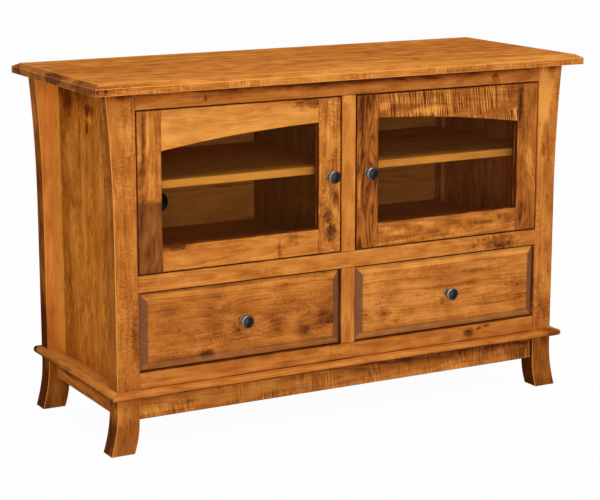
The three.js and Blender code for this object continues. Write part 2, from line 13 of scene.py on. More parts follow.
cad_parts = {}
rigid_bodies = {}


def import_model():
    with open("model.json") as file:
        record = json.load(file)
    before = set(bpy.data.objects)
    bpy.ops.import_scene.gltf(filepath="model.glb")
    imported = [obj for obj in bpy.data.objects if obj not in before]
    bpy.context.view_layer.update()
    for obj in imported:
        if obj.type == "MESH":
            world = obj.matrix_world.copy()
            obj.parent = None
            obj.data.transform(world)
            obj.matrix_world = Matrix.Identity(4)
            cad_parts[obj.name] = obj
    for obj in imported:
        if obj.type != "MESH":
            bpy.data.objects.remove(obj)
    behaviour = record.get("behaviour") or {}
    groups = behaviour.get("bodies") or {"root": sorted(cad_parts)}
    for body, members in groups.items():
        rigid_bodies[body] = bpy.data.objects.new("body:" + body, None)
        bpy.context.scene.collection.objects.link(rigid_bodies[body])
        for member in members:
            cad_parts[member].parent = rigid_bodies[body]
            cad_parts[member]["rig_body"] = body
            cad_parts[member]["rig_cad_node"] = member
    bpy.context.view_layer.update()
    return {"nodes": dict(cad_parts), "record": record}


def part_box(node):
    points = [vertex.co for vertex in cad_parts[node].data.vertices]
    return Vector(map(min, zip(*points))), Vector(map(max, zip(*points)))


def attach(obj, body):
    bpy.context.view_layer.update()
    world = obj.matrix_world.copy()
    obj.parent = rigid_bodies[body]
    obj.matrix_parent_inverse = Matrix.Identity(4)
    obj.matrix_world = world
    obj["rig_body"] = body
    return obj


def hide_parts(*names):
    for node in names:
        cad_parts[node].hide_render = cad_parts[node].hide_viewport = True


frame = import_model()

bl_info = {
    "name": "Maple media cabinet",
    "version": (1, 0, 0),
    "blender": (4, 5, 0),
    "location": "3D View > Sidebar > Cabinet",
    "description": "Finishes a maple media cabinet with two glass doors and two drawers",
    "category": "Object",
}

SIDES = (("left", -1), ("right", 1))
CORNERS = [(place, name, sign) for name, sign in SIDES for place in ("front", "rear")]
X, Y, Z = 0, 1, 2
MM = 0.001
TOUCH = 0.00002
SHARP = math.radians(20)
FLAT = math.radians(0.5)

# Roundings of thin wood and of pressed metal
EASED = 0.8 * MM
PRESSED = 0.3 * MM
# The cable plugs: how much smaller and shorter than the hole they are, their rim, dish and nib
PLUG_PLAY = 0.2 * MM
PLUG_RECESS = 1 * MM
PLUG_RIM = 3 * MM
PLUG_DISH = 2 * MM
PLUG_NIB = 7 * MM
PLUG_ROUNDING = 0.4 * MM
# The beads: how far they lie behind the glass, and where the seeds of their grain start
BEAD_PLAY = 0.1 * MM
BEAD_SEED = 50
# Grain and seed of the pieces of the left drawer's box; the right drawer's seeds come five later
DRAWER_WOOD = {
    "drawer_{}_outer_side": ("yzx", 60),
    "drawer_{}_inner_side": ("yzx", 61),
    "drawer_{}_back": ("xzy", 62),
    "drawer_{}_bottom": ("xyz", 63),
    "drawer_runner_{}_outer": ("yzx", 70),
    "drawer_runner_{}_inner": ("yzx", 71),
}
# A knob's outline from its foot to the middle of its face: share of the radius, share of the projection
KNOB_SHARES = (
    (0.567, 0.12), (0.52, 0.148), (0.4, 0.16), (0.367, 0.2), (0.355, 0.4), (0.375, 0.54), (0.46, 0.59),
    (0.7, 0.61), (0.86, 0.68), (0.95, 0.76), (1, 0.86), (1, 0.93), (0.97, 0.975), (0.91, 1), (0.85, 0.99),
    (0.8, 0.955), (0.74, 0.95), (0.5, 0.965), (0.2, 0.975),
)
KNOB_SMOOTH = math.radians(50)
# The rim starts at this share of the radius, and the painted highlight is strongest on this side,
# the lit side, as an angle from +X to +Z
KNOB_RIM = 0.86
KNOB_LIT_SIDE = math.radians(155)
# How strong a knob's painted highlight is on its rim, its foot and its face
RIM_HIGHLIGHT = 1
FOOT_HIGHLIGHT = 0.7
FACE_HIGHLIGHT = 0.14
# The hinge cups: depth, wall, play in the bore, and how far the bore's tool reaches out behind the door
CUP_DEPTH = 11.5 * MM
CUP_WALL = 0.8 * MM
CUP_PLAY = 0.1 * MM
BORE_OVERRUN = 1 * MM
# The tabs beside a hinge cup, and how far from the cup's middle their screws sit
TAB_WIDTH = 13 * MM
TAB_REACH = 30 * MM
TAB_THICKNESS = 1.2 * MM
TAB_SCREW = 24 * MM
# Screw heads and their cross recess
HEAD_RADIUS = 4 * MM
HEAD_HEIGHT = 2 * MM
HEAD_SMOOTH = math.radians(35)
RECESS_LENGTH = 0.55 * HEAD_RADIUS
RECESS_WIDTH = 0.14 * HEAD_RADIUS
# Thickness of a hinge's plate and arm, and where their screws sit: into the case, and up from the middle
HINGE_SCREWS = {
    "plate": (4 * MM, ((14 * MM, -16 * MM), (14 * MM, 16 * MM))),
    "arm": (13 * MM, ((27 * MM, 0), (48 * MM, 0))),
}
# Share of a screw head's height and of a tab's width that its bevel takes
SMALL_BEVEL = 0.45
# Place and size of each lamp, and the point that they face
KEY_LAMP = ((-0.5, -1.9, 3.9), 2)
FILL_LAMP = ((-1.7, -4, 1.1), 2)
BACK_LAMP = ((2.6, 3.2, 2.8), 2.2)
LAMP_TARGET = (0, 0, 0.45)
# Share of the floor's white that doesn't come from the lamps
FLOOR_GLOW = 0.97
WHITE = (1, 1, 1, 1)


def linear(code):
    """Turns an sRGB hex colour into linear red, green, blue and alpha"""
    shares = [int(code[i : i + 2], 16) / 255 for i in (0, 2, 4)]
    return tuple(s / 12.92 if s <= 0.04045 else ((s + 0.055) / 1.055) ** 2.4 for s in shares) + (1,)


def length(name, description, millimetres):
    """A size that a user may change"""
    return FloatProperty(
        name=name, description=description, default=millimetres * MM, min=0, unit="LENGTH", precision=4
    )


def colour(name, description, code):
    """A colour that a user may change"""
    return FloatVectorProperty(
        name=name, description=description, default=linear(code), size=4, min=0, max=1, subtype="COLOR"
    )


# Sizes and colours that a user may change


class CaseSizes(bpy.types.PropertyGroup):
    """Sizes of the case that its boxes in the frame don't give"""

    arris: length("Arris", "Radius of a worn, hand-sanded edge", 1.6)
    joint: length("Joint", "Radius of an edge that meets another board flush", 0.3)
    top_bevel: length("Top bevel width", "Width of the bevel round the top", 16)
    top_drop: length("Top bevel drop", "How far the top's bevel falls", 8)
    post_flare: length("Post flare", "How far a post sweeps out under the top", 14)
    post_flare_length: length("Post flare length", "Height of the post's sweep", 310)
    rebate: length("Back rebate", "Width of the rebate for the back board", 10.3)
    nose: length("Moulding nose", "Radius of the round edge of the base moulding", 7)
    foot_flare: length("Foot flare", "How far a foot sweeps out at the floor", 18)
    foot_flare_length: length("Foot flare length", "Height of the foot's outer sweep", 110)
    toe_flare: length("Toe flare", "How far a foot's inner edge sweeps out at the floor", 13)
    toe_flare_length: length("Toe flare length", "Height of the foot's inner sweep", 75)
    sweep_steps: IntProperty(name="Sweep steps", description="Steps in a swept edge", default=16, min=2)


class DoorSizes(bpy.types.PropertyGroup):
    """Sizes of the doors and drawers that their boxes in the frame don't give"""

    lip: length("Rebate lip", "Thickness of the lip in front of the glass", 9)
    lap: length("Rebate lap", "How far the rebate for the glass reaches into the frame", 8)
    arch_rise: length("Arch rise", "Rise of the arch over both doors", 36)
    arch_rail: length("Arch rail", "Height of the arched rail at the arch's crown", 55)
    bead: length("Bead depth", "Depth of the beads behind the glass", 6)
    front_bevel: length("Drawer bevel width", "Width of the bevel round a drawer front", 19)
    front_drop: length("Drawer bevel drop", "How far the drawer front's bevel falls", 8)
    cup: length("Hinge cup", "Diameter of a concealed hinge's cup", 35)
    cup_centre: length("Cup centre", "From the door's edge to the middle of the cup", 23)
    cable_radius: length("Cable hole radius", "Radius of the holes in the back board", 27)
    cable_x: length("Cable hole place", "From the middle of the cabinet to each cable hole", 274.5)
    cable_z: length("Cable hole height", "From the floor to the middle of the cable holes", 469)


class MapleColours(bpy.types.PropertyGroup):
    """Colours of the stained maple and of the woods inside"""

    light: colour("Light", "Pale sapwood under the stain", "EFA04A")
    middle: colour("Middle", "Most of the board", "BD6E2B")
    dark: colour("Dark", "Late rings, curl and flecks", "5E2A10")
    mineral: colour("Mineral", "Mineral streaks and knots", "45251A")
    sanded: colour("Sanded", "Bevels and end grain, sanded across the fibres, look greyer", "84543A")
    # The side colours are a shaded, more saturated copy of the maple's: painted shade for the side panels
    side_light: colour("Side light", "Pale side of the side panels, which the lamps only graze", "EE983C")
    side_middle: colour("Side middle", "Middle tone of the side panels", "B9681F")
    side_dark: colour("Side dark", "Dark curl of the side panels", "6B3208")
    inner_light: colour("Inner light", "Pale side of the boards behind the doors", "E3953A")
    inner_middle: colour("Inner middle", "Middle tone of the boards behind the doors", "A9691F")
    inner_dark: colour("Inner dark", "Dark rings of the boards behind the doors", "4A2E06")
    pale_light: colour("Box light", "Pale side of the clear maple of the drawer boxes", "EBCF9F")
    pale_middle: colour("Box middle", "Middle tone of the drawer boxes", "D3AA71")
    pale_dark: colour("Box dark", "Dark rings of the drawer boxes", "8F6231")


class FittingColours(bpy.types.PropertyGroup):
    """Colours of the metal and the glass"""

    gunmetal: colour("Gunmetal", "Blackened knobs", "0E0D0F")
    # The pale colour of the painted highlight on the knobs' lit side
    gunmetal_worn: colour("Worn gunmetal", "Knobs where fingers rub them", "C4BFBB")
    nickel: colour("Nickel", "Plated hinges and screws", "C6C8CA")
    glass: colour("Glass", "Clear float glass", "FCFCFB")


class StageSettings(bpy.types.PropertyGroup):
    """The camera and the studio"""

    place: FloatVectorProperty(
        name="Camera place", description="Where the camera stands", default=(-2.108, -3.806, 1.313),
        unit="LENGTH",
    )
    tilt: FloatProperty(
        name="Tilt", description="How far the camera looks down", default=math.radians(12.28),
        unit="ROTATION",
    )
    turn: FloatProperty(
        name="Turn", description="How far the camera turns to +X", default=math.radians(28.88),
        unit="ROTATION",
    )
    lens: FloatProperty(name="Lens", description="Focal length in millimetres", default=110.5)
    sensor: FloatProperty(name="Sensor", description="Width of the sensor in millimetres", default=36)
    ambient: FloatProperty(name="Ambient", description="Strength of the light from all round", default=0.42)
    key_power: FloatProperty(name="Key", description="Power of the high lamp", default=66, unit="POWER")
    fill_power: FloatProperty(name="Fill", description="Power of the low lamp", default=42, unit="POWER")
    back_power: FloatProperty(name="Back", description="Power of the rear lamp", default=45, unit="POWER")
    floor_size: FloatProperty(name="Floor", description="Side of the floor", default=24, unit="LENGTH")
    floor: colour("Floor", "Pale floor", "F7F7F7")


SETTINGS = {
    "cabinet_case": CaseSizes,
    "cabinet_doors": DoorSizes,
    "cabinet_maple": MapleColours,
    "cabinet_fittings": FittingColours,
    "cabinet_stage": StageSettings,
}


# Modelling


def block(name, corner, opposite):
    """Adds a cube between two corners, with its origin left at the frame's"""
    bpy.ops.object.select_all(action="DESELECT")
    low, high = Vector(map(min, corner, opposite)), Vector(map(max, corner, opposite))
    bpy.ops.mesh.primitive_cube_add(size=1, location=(low + high) / 2)
    return applied(name, high - low)


def blank(node):
    """A cube that fills a node's box"""
    return block(node + "_finished", *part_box(node))


def rod(name, centre, radius, depth, axis=Y, sides=48):
    """Adds a cylinder along an axis at its size and place"""
    bpy.ops.object.select_all(action="DESELECT")
    turn = {X: (0, math.pi / 2, 0), Y: (math.pi / 2, 0, 0), Z: (0, 0, 0)}[axis]
    bpy.ops.mesh.primitive_cylinder_add(
        vertices=sides, radius=radius, depth=depth, location=centre, rotation=turn
    )
    return applied(name)


def applied(name, scale=(1, 1, 1)):
    """Names the new primitive and bakes its size and place into its mesh"""
    piece = bpy.context.object
    piece.name = piece.data.name = name
    piece.scale = scale
    bpy.ops.object.transform_apply(location=True, rotation=True, scale=True)
    return piece


def copied(piece, name, away=(0, 0, 0), mirrored=False):
    """Copies a piece with its own mesh, moved, or mirrored to the other side of the cabinet"""
    double = piece.copy()
    double.data = piece.data.copy()
    double.name = double.data.name = name
    bpy.context.collection.objects.link(double)
    if mirrored:
        double.data.transform(Matrix.Scale(-1, 4, (1, 0, 0)))
        double.data.flip_normals()
    double.data.transform(Matrix.Translation(away))
    return double


def choose(piece):
    """Makes one piece the selected and active one"""
    bpy.ops.object.select_all(action="DESELECT")
    piece.select_set(True)
    bpy.context.view_layer.objects.active = piece


@contextmanager
def editing(piece):
    """Holds a piece in edit mode"""
    choose(piece)
    bpy.ops.object.mode_set(mode="EDIT")
    yield
    bpy.ops.object.mode_set(mode="OBJECT")


def lies(item, axis, *places):
    """Whether a face, edge or vertex lies at a place on an axis, or between two"""
    corners = [item] if isinstance(item, bmesh.types.BMVert) else item.verts
    low, high = min(places) - TOUCH, max(places) + TOUCH
    return all(low <= corner.co[axis] <= high for corner in corners)


def runs(edge, axis):
    """Whether an edge runs along an axis"""
    span = edge.verts[1].co - edge.verts[0].co
    return all(abs(span[other]) < TOUCH for other in (X, Y, Z) if other != axis)


def meets(item, places):
    """Whether a face, edge or vertex lies at every one of some places, or passes where one is a test"""
    return all(place(item) if callable(place) else lies(item, *place) for place in places)


def pick(piece, kind, *places, but=()):
    """Selects in edit mode the faces, edges or verts that lie at some places, but not at others"""
    bpy.ops.mesh.select_mode(type=kind[:-1].upper())
    bpy.ops.mesh.select_all(action="DESELECT")
    mesh = bmesh.from_edit_mesh(piece.data)
    for item in getattr(mesh, kind):
        if meets(item, places) and not (but and meets(item, but)):
            item.select_set(True)
    mesh.select_flush_mode()
    bmesh.update_edit_mesh(piece.data)


def shift(x=0, y=0, z=0):
    """Moves what is selected"""
    bpy.ops.transform.translate(value=(x, y, z))


def extrude(x=0, y=0, z=0):
    """Extrudes what is selected"""
    bpy.ops.mesh.extrude_region_move(TRANSFORM_OT_translate={"value": (x, y, z)})


def along(axis):
    """The unit vector of an axis"""
    return Vector([float(axis == other) for other in (X, Y, Z)])


def bisect(axis, *places):
    """Cuts the whole piece in edit mode along planes across an axis"""
    for place in places:
        bpy.ops.mesh.select_all(action="SELECT")
        bpy.ops.mesh.bisect(plane_co=along(axis) * place, plane_no=along(axis))


def sweep(piece, start, step, sign, edges):
    """Extrudes the end face of a piece step by step, its inner and outer edges to the given places"""
    pick(piece, "faces", (Z, start))
    for i, pair in enumerate(edges):
        level = start + step * (i + 1)
        extrude(z=step)
        mesh = bmesh.from_edit_mesh(piece.data)
        places = sorted(sign * vert.co.x for vert in mesh.verts if lies(vert, Z, level))
        for old, new in zip((sign * places[0], sign * places[-1]), pair):
            pick(piece, "verts", (Z, level), (X, old))
            shift(x=new - old)
        pick(piece, "faces", (Z, level))


def with_modifier(piece, kind, **settings):
    """Adds a modifier and applies it"""
    choose(piece)
    made = piece.modifiers.new(kind.lower(), kind)
    for name, value in settings.items():
        setattr(made, name, value)
    bpy.ops.object.modifier_apply(modifier=made.name)


def cut_away(piece, tool):
    """Cuts the shape of a tool out of a piece, and removes the tool"""
    with_modifier(piece, "BOOLEAN", object=tool, operation="DIFFERENCE", solver="EXACT")
    bpy.data.objects.remove(tool)


def tidy(piece, flat=True):
    """Merges doubles, and the flat faces that cuts have left, and turns the faces outwards"""
    with editing(piece):
        bpy.ops.mesh.select_all(action="SELECT")
        bpy.ops.mesh.remove_doubles(threshold=TOUCH)
        if flat:
            bpy.ops.mesh.dissolve_limited(angle_limit=FLAT)
        bpy.ops.mesh.normals_make_consistent(inside=False)


def round_edges(piece, joints=(), radius=None):
    """Rounds the sharp edges, only a little where they lie in a joint. The attribute arris is 1 on the
    rounding, so that the finish can wear there and carry painted highlight and shade."""
    case = bpy.context.scene.cabinet_case
    radius = radius or case.arris
    mesh = bmesh.new()
    mesh.from_mesh(piece.data)
    weights = mesh.edges.layers.float.new("bevel_weight_edge")
    for edge in mesh.edges:
        if edge.calc_face_angle(0) > SHARP:
            flush = any(meets(edge, joint) for joint in joints)
            edge[weights] = min(1, case.joint / radius) if flush else 1
    mesh.to_mesh(piece.data)
    mesh.free()
    stand_in = bpy.data.materials.get("rounding") or bpy.data.materials.new("rounding")
    piece.data.materials.clear()
    for _ in ("flat faces", "roundings"):
        piece.data.materials.append(stand_in)
    choose(piece)
    bpy.ops.object.shade_smooth()
    with_modifier(
        piece, "BEVEL", width=radius, segments=3, limit_method="WEIGHT", material=1, harden_normals=True,
        use_clamp_overlap=True,
    )
    mark_arrises(piece)


def mark_arrises(piece):
    """Writes the attribute arris from the faces that the bevel has made, and clears their material"""
    mesh = piece.data
    flat = {v for face in mesh.polygons if face.material_index == 0 for v in face.vertices}
    arris = mesh.attributes.new("arris", "FLOAT", "POINT")
    for vertex in mesh.vertices:
        arris.data[vertex.index].value = 0 if vertex.index in flat else 1
    for face in mesh.polygons:
        face.material_index = 0
    mesh.materials.clear()


BODY_OF = {
    node: body
    for body, members in frame["record"]["behaviour"]["bodies"].items()
    for node in members
}
SLOT_OF = {part["node"]: part["material_slot"] for part in frame["record"]["subparts"]}


def settle(piece, node, material, slot=None):
    """Gives a piece its finish and lets it ride on its node's body. It stands for that node too, unless
    it is an extra piece with a slot of its own."""
    piece.data.materials.clear()
    piece.data.materials.append(material)
    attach(piece, BODY_OF[node])
    if not slot:
        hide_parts(node)


def dress(node, material):
    """Gives a node that keeps its shape a finish"""
    data = frame["nodes"][node].data
    data.materials.clear()
    data.materials.append(material)


def finish_board(piece, node, joints=(), radius=None):
    """Rounds the edges of a board and gives it its maple"""
    round_edges(piece, joints, radius)
    settle(piece, node, maple(node, BOARDS[node]))


def ends(node, axis):
    """The joints at the low and the high end of a node's box"""
    return [[(axis, corner[axis])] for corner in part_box(node)]


def sides_of(node, sign):
    """The x of a node's inner and outer side, as seen from the middle of the cabinet"""
    low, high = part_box(node)
    return (low.x, high.x) if sign > 0 else (high.x, low.x)


# Materials


def add(tree, kind, *values, out="", given=None, **settings):
    """Adds a node with its settings, feeds the inputs it then has, in turn or by name, and gives its first
    output or the one that is asked for"""
    made = tree.nodes.new(kind if kind.startswith("NodeGroup") else "ShaderNode" + kind)
    for name, value in settings.items():
        setattr(made, name, value)
    inputs = [socket for socket in made.inputs if socket.enabled]
    named = [(made.inputs[name], value) for name, value in (given or {}).items()]
    for socket, value in [*zip(inputs, values), *named]:
        if isinstance(value, bpy.types.NodeSocket):
            tree.links.new(value, socket)
        elif value is not None:
            socket.default_value = value
    outputs = [socket for socket in made.outputs if socket.enabled and out in ("", socket.name)]
    return outputs[0] if outputs else made


def new_material(name):
    """An empty material and its node tree"""
    material = bpy.data.materials.new(name)
    material.use_nodes = True
    material.node_tree.nodes.clear()
    return material, material.node_tree


def new_group(name, inputs, outputs):
    """A node group with its sockets, by kind, and the values that it is given"""
    tree = bpy.data.node_groups.new(name, "ShaderNodeTree")
    for way, sockets in (("INPUT", inputs), ("OUTPUT", outputs)):
        for kind, *labels in sockets:
            for label in labels:
                tree.interface.new_socket(label, in_out=way, socket_type="NodeSocket" + kind)
    return tree, add(tree, "NodeGroupInput").node.outputs


def shared(make):
    """A material or node group that bears the name of its function, made when it is first asked for"""
    name = make.__name__
    return bpy.data.materials.get(name) or bpy.data.node_groups.get(name) or make()


@dataclass
class Mark:
    """A knot, patch, streak, painted shadow or painted highlight: its middle and half sizes in the frame, in
    millimetres, how much mineral colour it has, how much darker its stain is, how far the grain is pushed
    aside round it, and how soft and how ragged its edge is"""

    middle: tuple
    half: tuple
    mineral: float = 0.5
    stain: float = 0.0
    swirl: float = 0.0
    edge: float = 0.8
    ragged: float = 1.5


@dataclass
class Board:
    """How one maple board looks. The grain names the axes along the grain, across the face and into it.
    Its roundings wear paler and carry a painted highlight, or hold more stain as painted shade where
    their share is below zero. With edge_curl its curl shows on its edges only, and where its lower bevel
    is marked that bevel gets the end grain's darker, greyer look as painted shade. A row of front is a
    mark on the cabinet's front, which goes as deep as deep says: x, z, half width, half height and a
    mark's other values."""

    grain: str
    seed: float
    tone: float = 0.4
    contrast: float = 0.65
    lines: float = 0.07
    curl: float = 0
    curl_size: tuple = (4.5, 12)
    flecks: float = 0.5
    streaks: float = 0.4
    wander: float = 16
    pith: float = 45
    rings: float = 5
    boards: float = 0
    # Side darkens the faces that turn across the board, as painted shade on its sides and in the gaps; below
    # zero it lightens them as painted light
    side: float = 0.4
    end: float = 1
    outline: float = 0.08
    worn: float = -0.25
    grit: float = 1
    edge_curl: bool = False
    bevelled: bool = False
    marks: tuple = ()
    front: tuple = ()
    deep: float = 14
    palette: str = ""
    gloss: float = 0.01


# How far apart, in millimetres, the patterns of neighbouring boards of one panel lie
BOARD_JUMP = (2600, 340, 90)
BOARD_SPREAD = 160
BOARD_UNEVEN = 0.6
NO_BOARDS = 100000
# How far apart the seeds of two boards set their patterns
SEED_STEP = (37.7, 911, 53)
# Grain features, as sizes along the grain, across the face and into it, in millimetres. Fibres, grit,
# flecks and fine lines are too fine to show as maple has them, so they are drawn as coarse as a picture
# needs in which a pixel covers more than two millimetres.
SWAY_SIZE = (260, 80, 80)
FIBRE_SIZE = (90, 4, 4)
GRIT_SIZE = (10, 4.5, 4.5)
LINE_SIZE = (190, 26, 26)
TONE_SIZE = (420, 24, 24)
STREAK_SIZE = (240, 9, 9)
FLECK_SIZE = (6, 2.1, 2.1)
CLUSTER_SIZE = (60, 34, 34)
BLOTCH_SIZE = (58, 27, 27)
CURL_MASK_SIZE = (80, 36, 36)
CURL_SLANT = 0.12
MARK_GRIT_SIZE = (1 / 0.09,) * 3
# Where a noise starts to show as a feature, and where it shows in full
STREAK_CUT = (0.57, 0.76)
FLECK_CUT = (0.6, 0.72)
CLUSTER_CUT = (0.46, 0.62)
CURL_CUT = (0.38, 0.62)
CURL_MASK_CUT = (0.4, 0.58)
MARK_CUT = 1.1
# How many fine grain lines lie between the darkest and the palest place of the pattern they follow, how
# wide they are, and how dark they and the wood between them are
LINE_COUNT = 8
LINE_WIDE = 0.3
LINE_DARK = 0.7
LINE_PALE = -0.3
# Where most of a noise lies, and how dull the lacquer is at its two ends
NOISE_SPAN = (0.3, 0.7)
MAPLE_DULL = (0.34, 0.48)
# How far late wood and flecks stand above or below the fibres, and the height of the relief in metres
RING_HEIGHT = 0.4
FLECK_HEIGHT = -0.6
MAPLE_RELIEF = 0.0004
# How much of each pattern goes into the stain's depth
TONE_SHARE = 1.1
FIBRE_SHARE = 0.4
GRIT_SHARE = 0.25
BLOTCH_SHARE = 1.5
LOT_SHARE = 0.4
RING_SHARE = 0.2
FLECK_SHARE = 0.55
# Growth rings: their tilt along the board, how slowly and how much they vary, and where late wood starts
RING_TILT = 0.03
RING_SLOW = 0.3
RING_UNEVEN = 4
LATE_WOOD = (0.25, 0.9)
# End grain drinks more stain, and looks duller; an arris wears paler and carries a painted highlight,
# which turns to painted shade where a board's share is below zero
END_SHARE = 0.25
END_SANDED = 0.75
WEAR_AND_LIGHT_SHARE = -2
# How far a face has to turn to show end grain, to show an edge's curl and to be a lower bevel,
# and how much painted shade a lower bevel gets
END_TURN = (0.12, 0.55)
EDGE_TURN = (0.6, 0.95)
DOWN_TURN = (-0.12, -0.38)
DOWN_SHADE_SHARE = 0.27
# Stain gathers in a line this wide, in millimetres, along a board's outline
OUTLINE_WIDTH = 3.5
# The patterns of metal, glass and rubber, as features in a metre
STEEL_GRIT = 900
STEEL_CLOUDS = 160
ROLLING_LINES = (2200, 2200, 160)
NICKEL_CLOUDS = 90
GLASS_DUST = 14
RUBBER_DUST = 120
# How dull metal, glass and rubber are, from their smoothest to their dullest place
STEEL_DULL = (0.24, 0.5)
NICKEL_DULL = (0.18, 0.4)
GLASS_DULL = (0.01, 0.06)
RUBBER_DULL = (0.6, 0.85)
# Blackened steel: how much bare metal its grit shows, and the height of its relief in metres
GRIT_RUBBED = 0.04
STEEL_RELIEF = 0.0002
# How dark nickel is where it is dull
NICKEL_SHADE = 0.75
# Glass: its index, where its reflection is capped, and what is left of it
GLASS_INDEX = 1.45
GLASS_CAP = 0.12
GLASS_MIRROR = 0.04
# The cabinet's front, in millimetres
FACE = -215
# The inputs and outputs of the maple pattern, by kind
GRAIN_INPUTS = (
    ("Vector", "Place", "Seed"),
    (
        "Float", "Board Width", "Board Spread", "Pith Depth", "Ring Spacing", "Wander", "Swirl", "Tone",
        "Contrast", "Lines", "Curl",
    ),
    ("Vector", "Curl Size"),
    ("Float", "Grit", "Flecks", "Streaks", "Mark", "Stain", "End", "Side", "Outline", "Arris"),
    ("Color", "Light", "Middle", "Dark", "Mineral", "Sanded"),
)
GRAIN_OUTPUTS = (("Color", "Colour"), ("Float", "Roughness", "Height"))


def maple_grain():
    """The pattern of stained maple, worked out in millimetres along the grain, across it and into it"""
    tree, given = new_group("maple_grain", GRAIN_INPUTS, GRAIN_OUTPUTS)
    moved, lot = board_lots(tree, given)
    swayed, sway = wandering_grain(tree, given, moved)
    late = rings(tree, given, sway, lot)
    fibre = speckle(tree, swayed, FIBRE_SIZE, 4)
    blotch = speckle(tree, moved, BLOTCH_SIZE, 5)
    draw = add(tree, "SeparateColor", lot, out="Blue")
    shares = (
        (speckle(tree, swayed, TONE_SIZE, 3), TONE_SHARE), (fibre, FIBRE_SHARE), (blotch, BLOTCH_SHARE),
        (draw, LOT_SHARE), (late, RING_SHARE),
    )
    depth = -sum(share for _, share in shares) / 2
    for pattern, share in shares:
        depth = add(tree, "Math", pattern, share, depth, operation="MULTIPLY_ADD")
    grit = add(tree, "Math", speckle(tree, swayed, GRIT_SIZE, 3, 0.7), 0.5, operation="SUBTRACT")
    depth = add(tree, "Math", grit, given["Grit"], depth, operation="MULTIPLY_ADD")
    depth = add(tree, "Math", depth, given["Contrast"], given["Tone"], operation="MULTIPLY_ADD")
    depth = add(tree, "Math", curl_bars(tree, given, swayed), given["Curl"], depth, operation="MULTIPLY_ADD")
    flecks = clustered_flecks(tree, given, swayed, moved)
    # The roundings' wear and painted highlight, broken up by the blotches; Side below adds painted shade
    worn = add(tree, "Math", given["Arris"], blotch, operation="MULTIPLY")
    for pattern, share in (
        (flecks, FLECK_SHARE), (given["Stain"], 1), (given["End"], END_SHARE), (given["Side"], 1),
        (worn, WEAR_AND_LIGHT_SHARE), (grain_lines(tree, swayed), given["Lines"]), (given["Outline"], 1),
    ):
        depth = add(tree, "Math", pattern, share, depth, operation="MULTIPLY_ADD")
    streak = add(tree, "MapRange", speckle(tree, swayed, STREAK_SIZE, 2), *STREAK_CUT)
    streak = add(tree, "Math", streak, given["Streaks"], operation="MULTIPLY")
    mineral = add(tree, "Math", streak, given["Mark"], operation="MAXIMUM")
    sanded = add(tree, "Math", given["End"], END_SANDED, operation="MULTIPLY")
    paint = stain(tree, given, depth)
    for factor, shade in ((mineral, given["Mineral"]), (sanded, given["Sanded"])):
        paint = add(tree, "Mix", factor, paint, shade, data_type="RGBA", clamp_factor=True)
    rough = add(tree, "MapRange", fibre, *NOISE_SPAN, *MAPLE_DULL)
    height = add(tree, "Math", late, RING_HEIGHT, fibre, operation="MULTIPLY_ADD")
    height = add(tree, "Math", flecks, FLECK_HEIGHT, height, operation="MULTIPLY_ADD")
    add(tree, "NodeGroupOutput", paint, rough, height)
    return tree


def speckle(tree, place, size, detail, rough=0.5):
    """Noise whose features have a size in millimetres"""
    scaled = add(tree, "VectorMath", place, tuple(1 / s for s in size), operation="MULTIPLY")
    return add(tree, "TexNoise", scaled, 1, detail, rough)


def board_lots(tree, given):
    """Glued boards of uneven widths: each draws its own lot, and its pattern comes from elsewhere"""
    across = add(tree, "SeparateXYZ", given["Place"], out="Y")
    count = add(tree, "Math", across, given["Board Width"], operation="DIVIDE")
    count = add(tree, "Math", count, add(tree, "SeparateXYZ", given["Seed"]), operation="ADD")
    lot = add(
        tree, "TexVoronoi", out="Color", given={"W": count, "Scale": 1, "Randomness": BOARD_UNEVEN},
        voronoi_dimensions="1D",
    )
    jump = add(tree, "VectorMath", lot, BOARD_JUMP, operation="MULTIPLY")
    moved = add(tree, "VectorMath", given["Place"], jump, operation="ADD")
    return add(tree, "VectorMath", moved, given["Seed"], operation="ADD"), lot


def wandering_grain(tree, given, moved):
    """The grain wanders slowly across the face and into it"""
    scaled = add(tree, "VectorMath", moved, tuple(1 / s for s in SWAY_SIZE), operation="MULTIPLY")
    noise = add(tree, "TexNoise", scaled, 1, 2, out="Color")
    centred = add(tree, "VectorMath", noise, (0.5, 0.5, 0.5), operation="SUBTRACT")
    reach = add(tree, "CombineXYZ", None, given["Wander"], given["Wander"])
    sway = add(tree, "VectorMath", centred, reach, operation="MULTIPLY")
    push = add(tree, "CombineXYZ", None, given["Swirl"], given["Swirl"])
    sway = add(tree, "VectorMath", sway, push, operation="ADD")
    return add(tree, "VectorMath", moved, sway, operation="ADD"), sway


def rings(tree, given, sway, lot):
    """Growth rings round a pith that lies behind the board and tilts a little along it"""
    place = add(tree, "VectorMath", given["Place"], sway, operation="ADD")
    spread = add(tree, "VectorMath", lot, given["Board Spread"], operation="SCALE")
    place = add(tree, "VectorMath", place, spread, operation="ADD")
    length_way, across, into = add(tree, "SeparateXYZ", place).node.outputs
    into = add(tree, "Math", into, given["Pith Depth"], operation="ADD")
    into = add(tree, "Math", length_way, RING_TILT, into, operation="MULTIPLY_ADD")
    radius = add(tree, "VectorMath", add(tree, "CombineXYZ", None, across, into), operation="LENGTH")
    count = add(tree, "Math", radius, given["Ring Spacing"], operation="DIVIDE")
    slow = add(tree, "Math", count, RING_SLOW, operation="MULTIPLY")
    uneven = add(tree, "TexNoise", slow, 1, 2, noise_dimensions="1D")
    count = add(tree, "Math", uneven, RING_UNEVEN, count, operation="MULTIPLY_ADD")
    year = add(tree, "Math", count, operation="FRACT")
    rise = add(tree, "MapRange", year, *LATE_WOOD, interpolation_type="SMOOTHSTEP")
    fall = add(tree, "MapRange", year, LATE_WOOD[1], 1, 1, 0)
    return add(tree, "Math", rise, fall, operation="MULTIPLY")


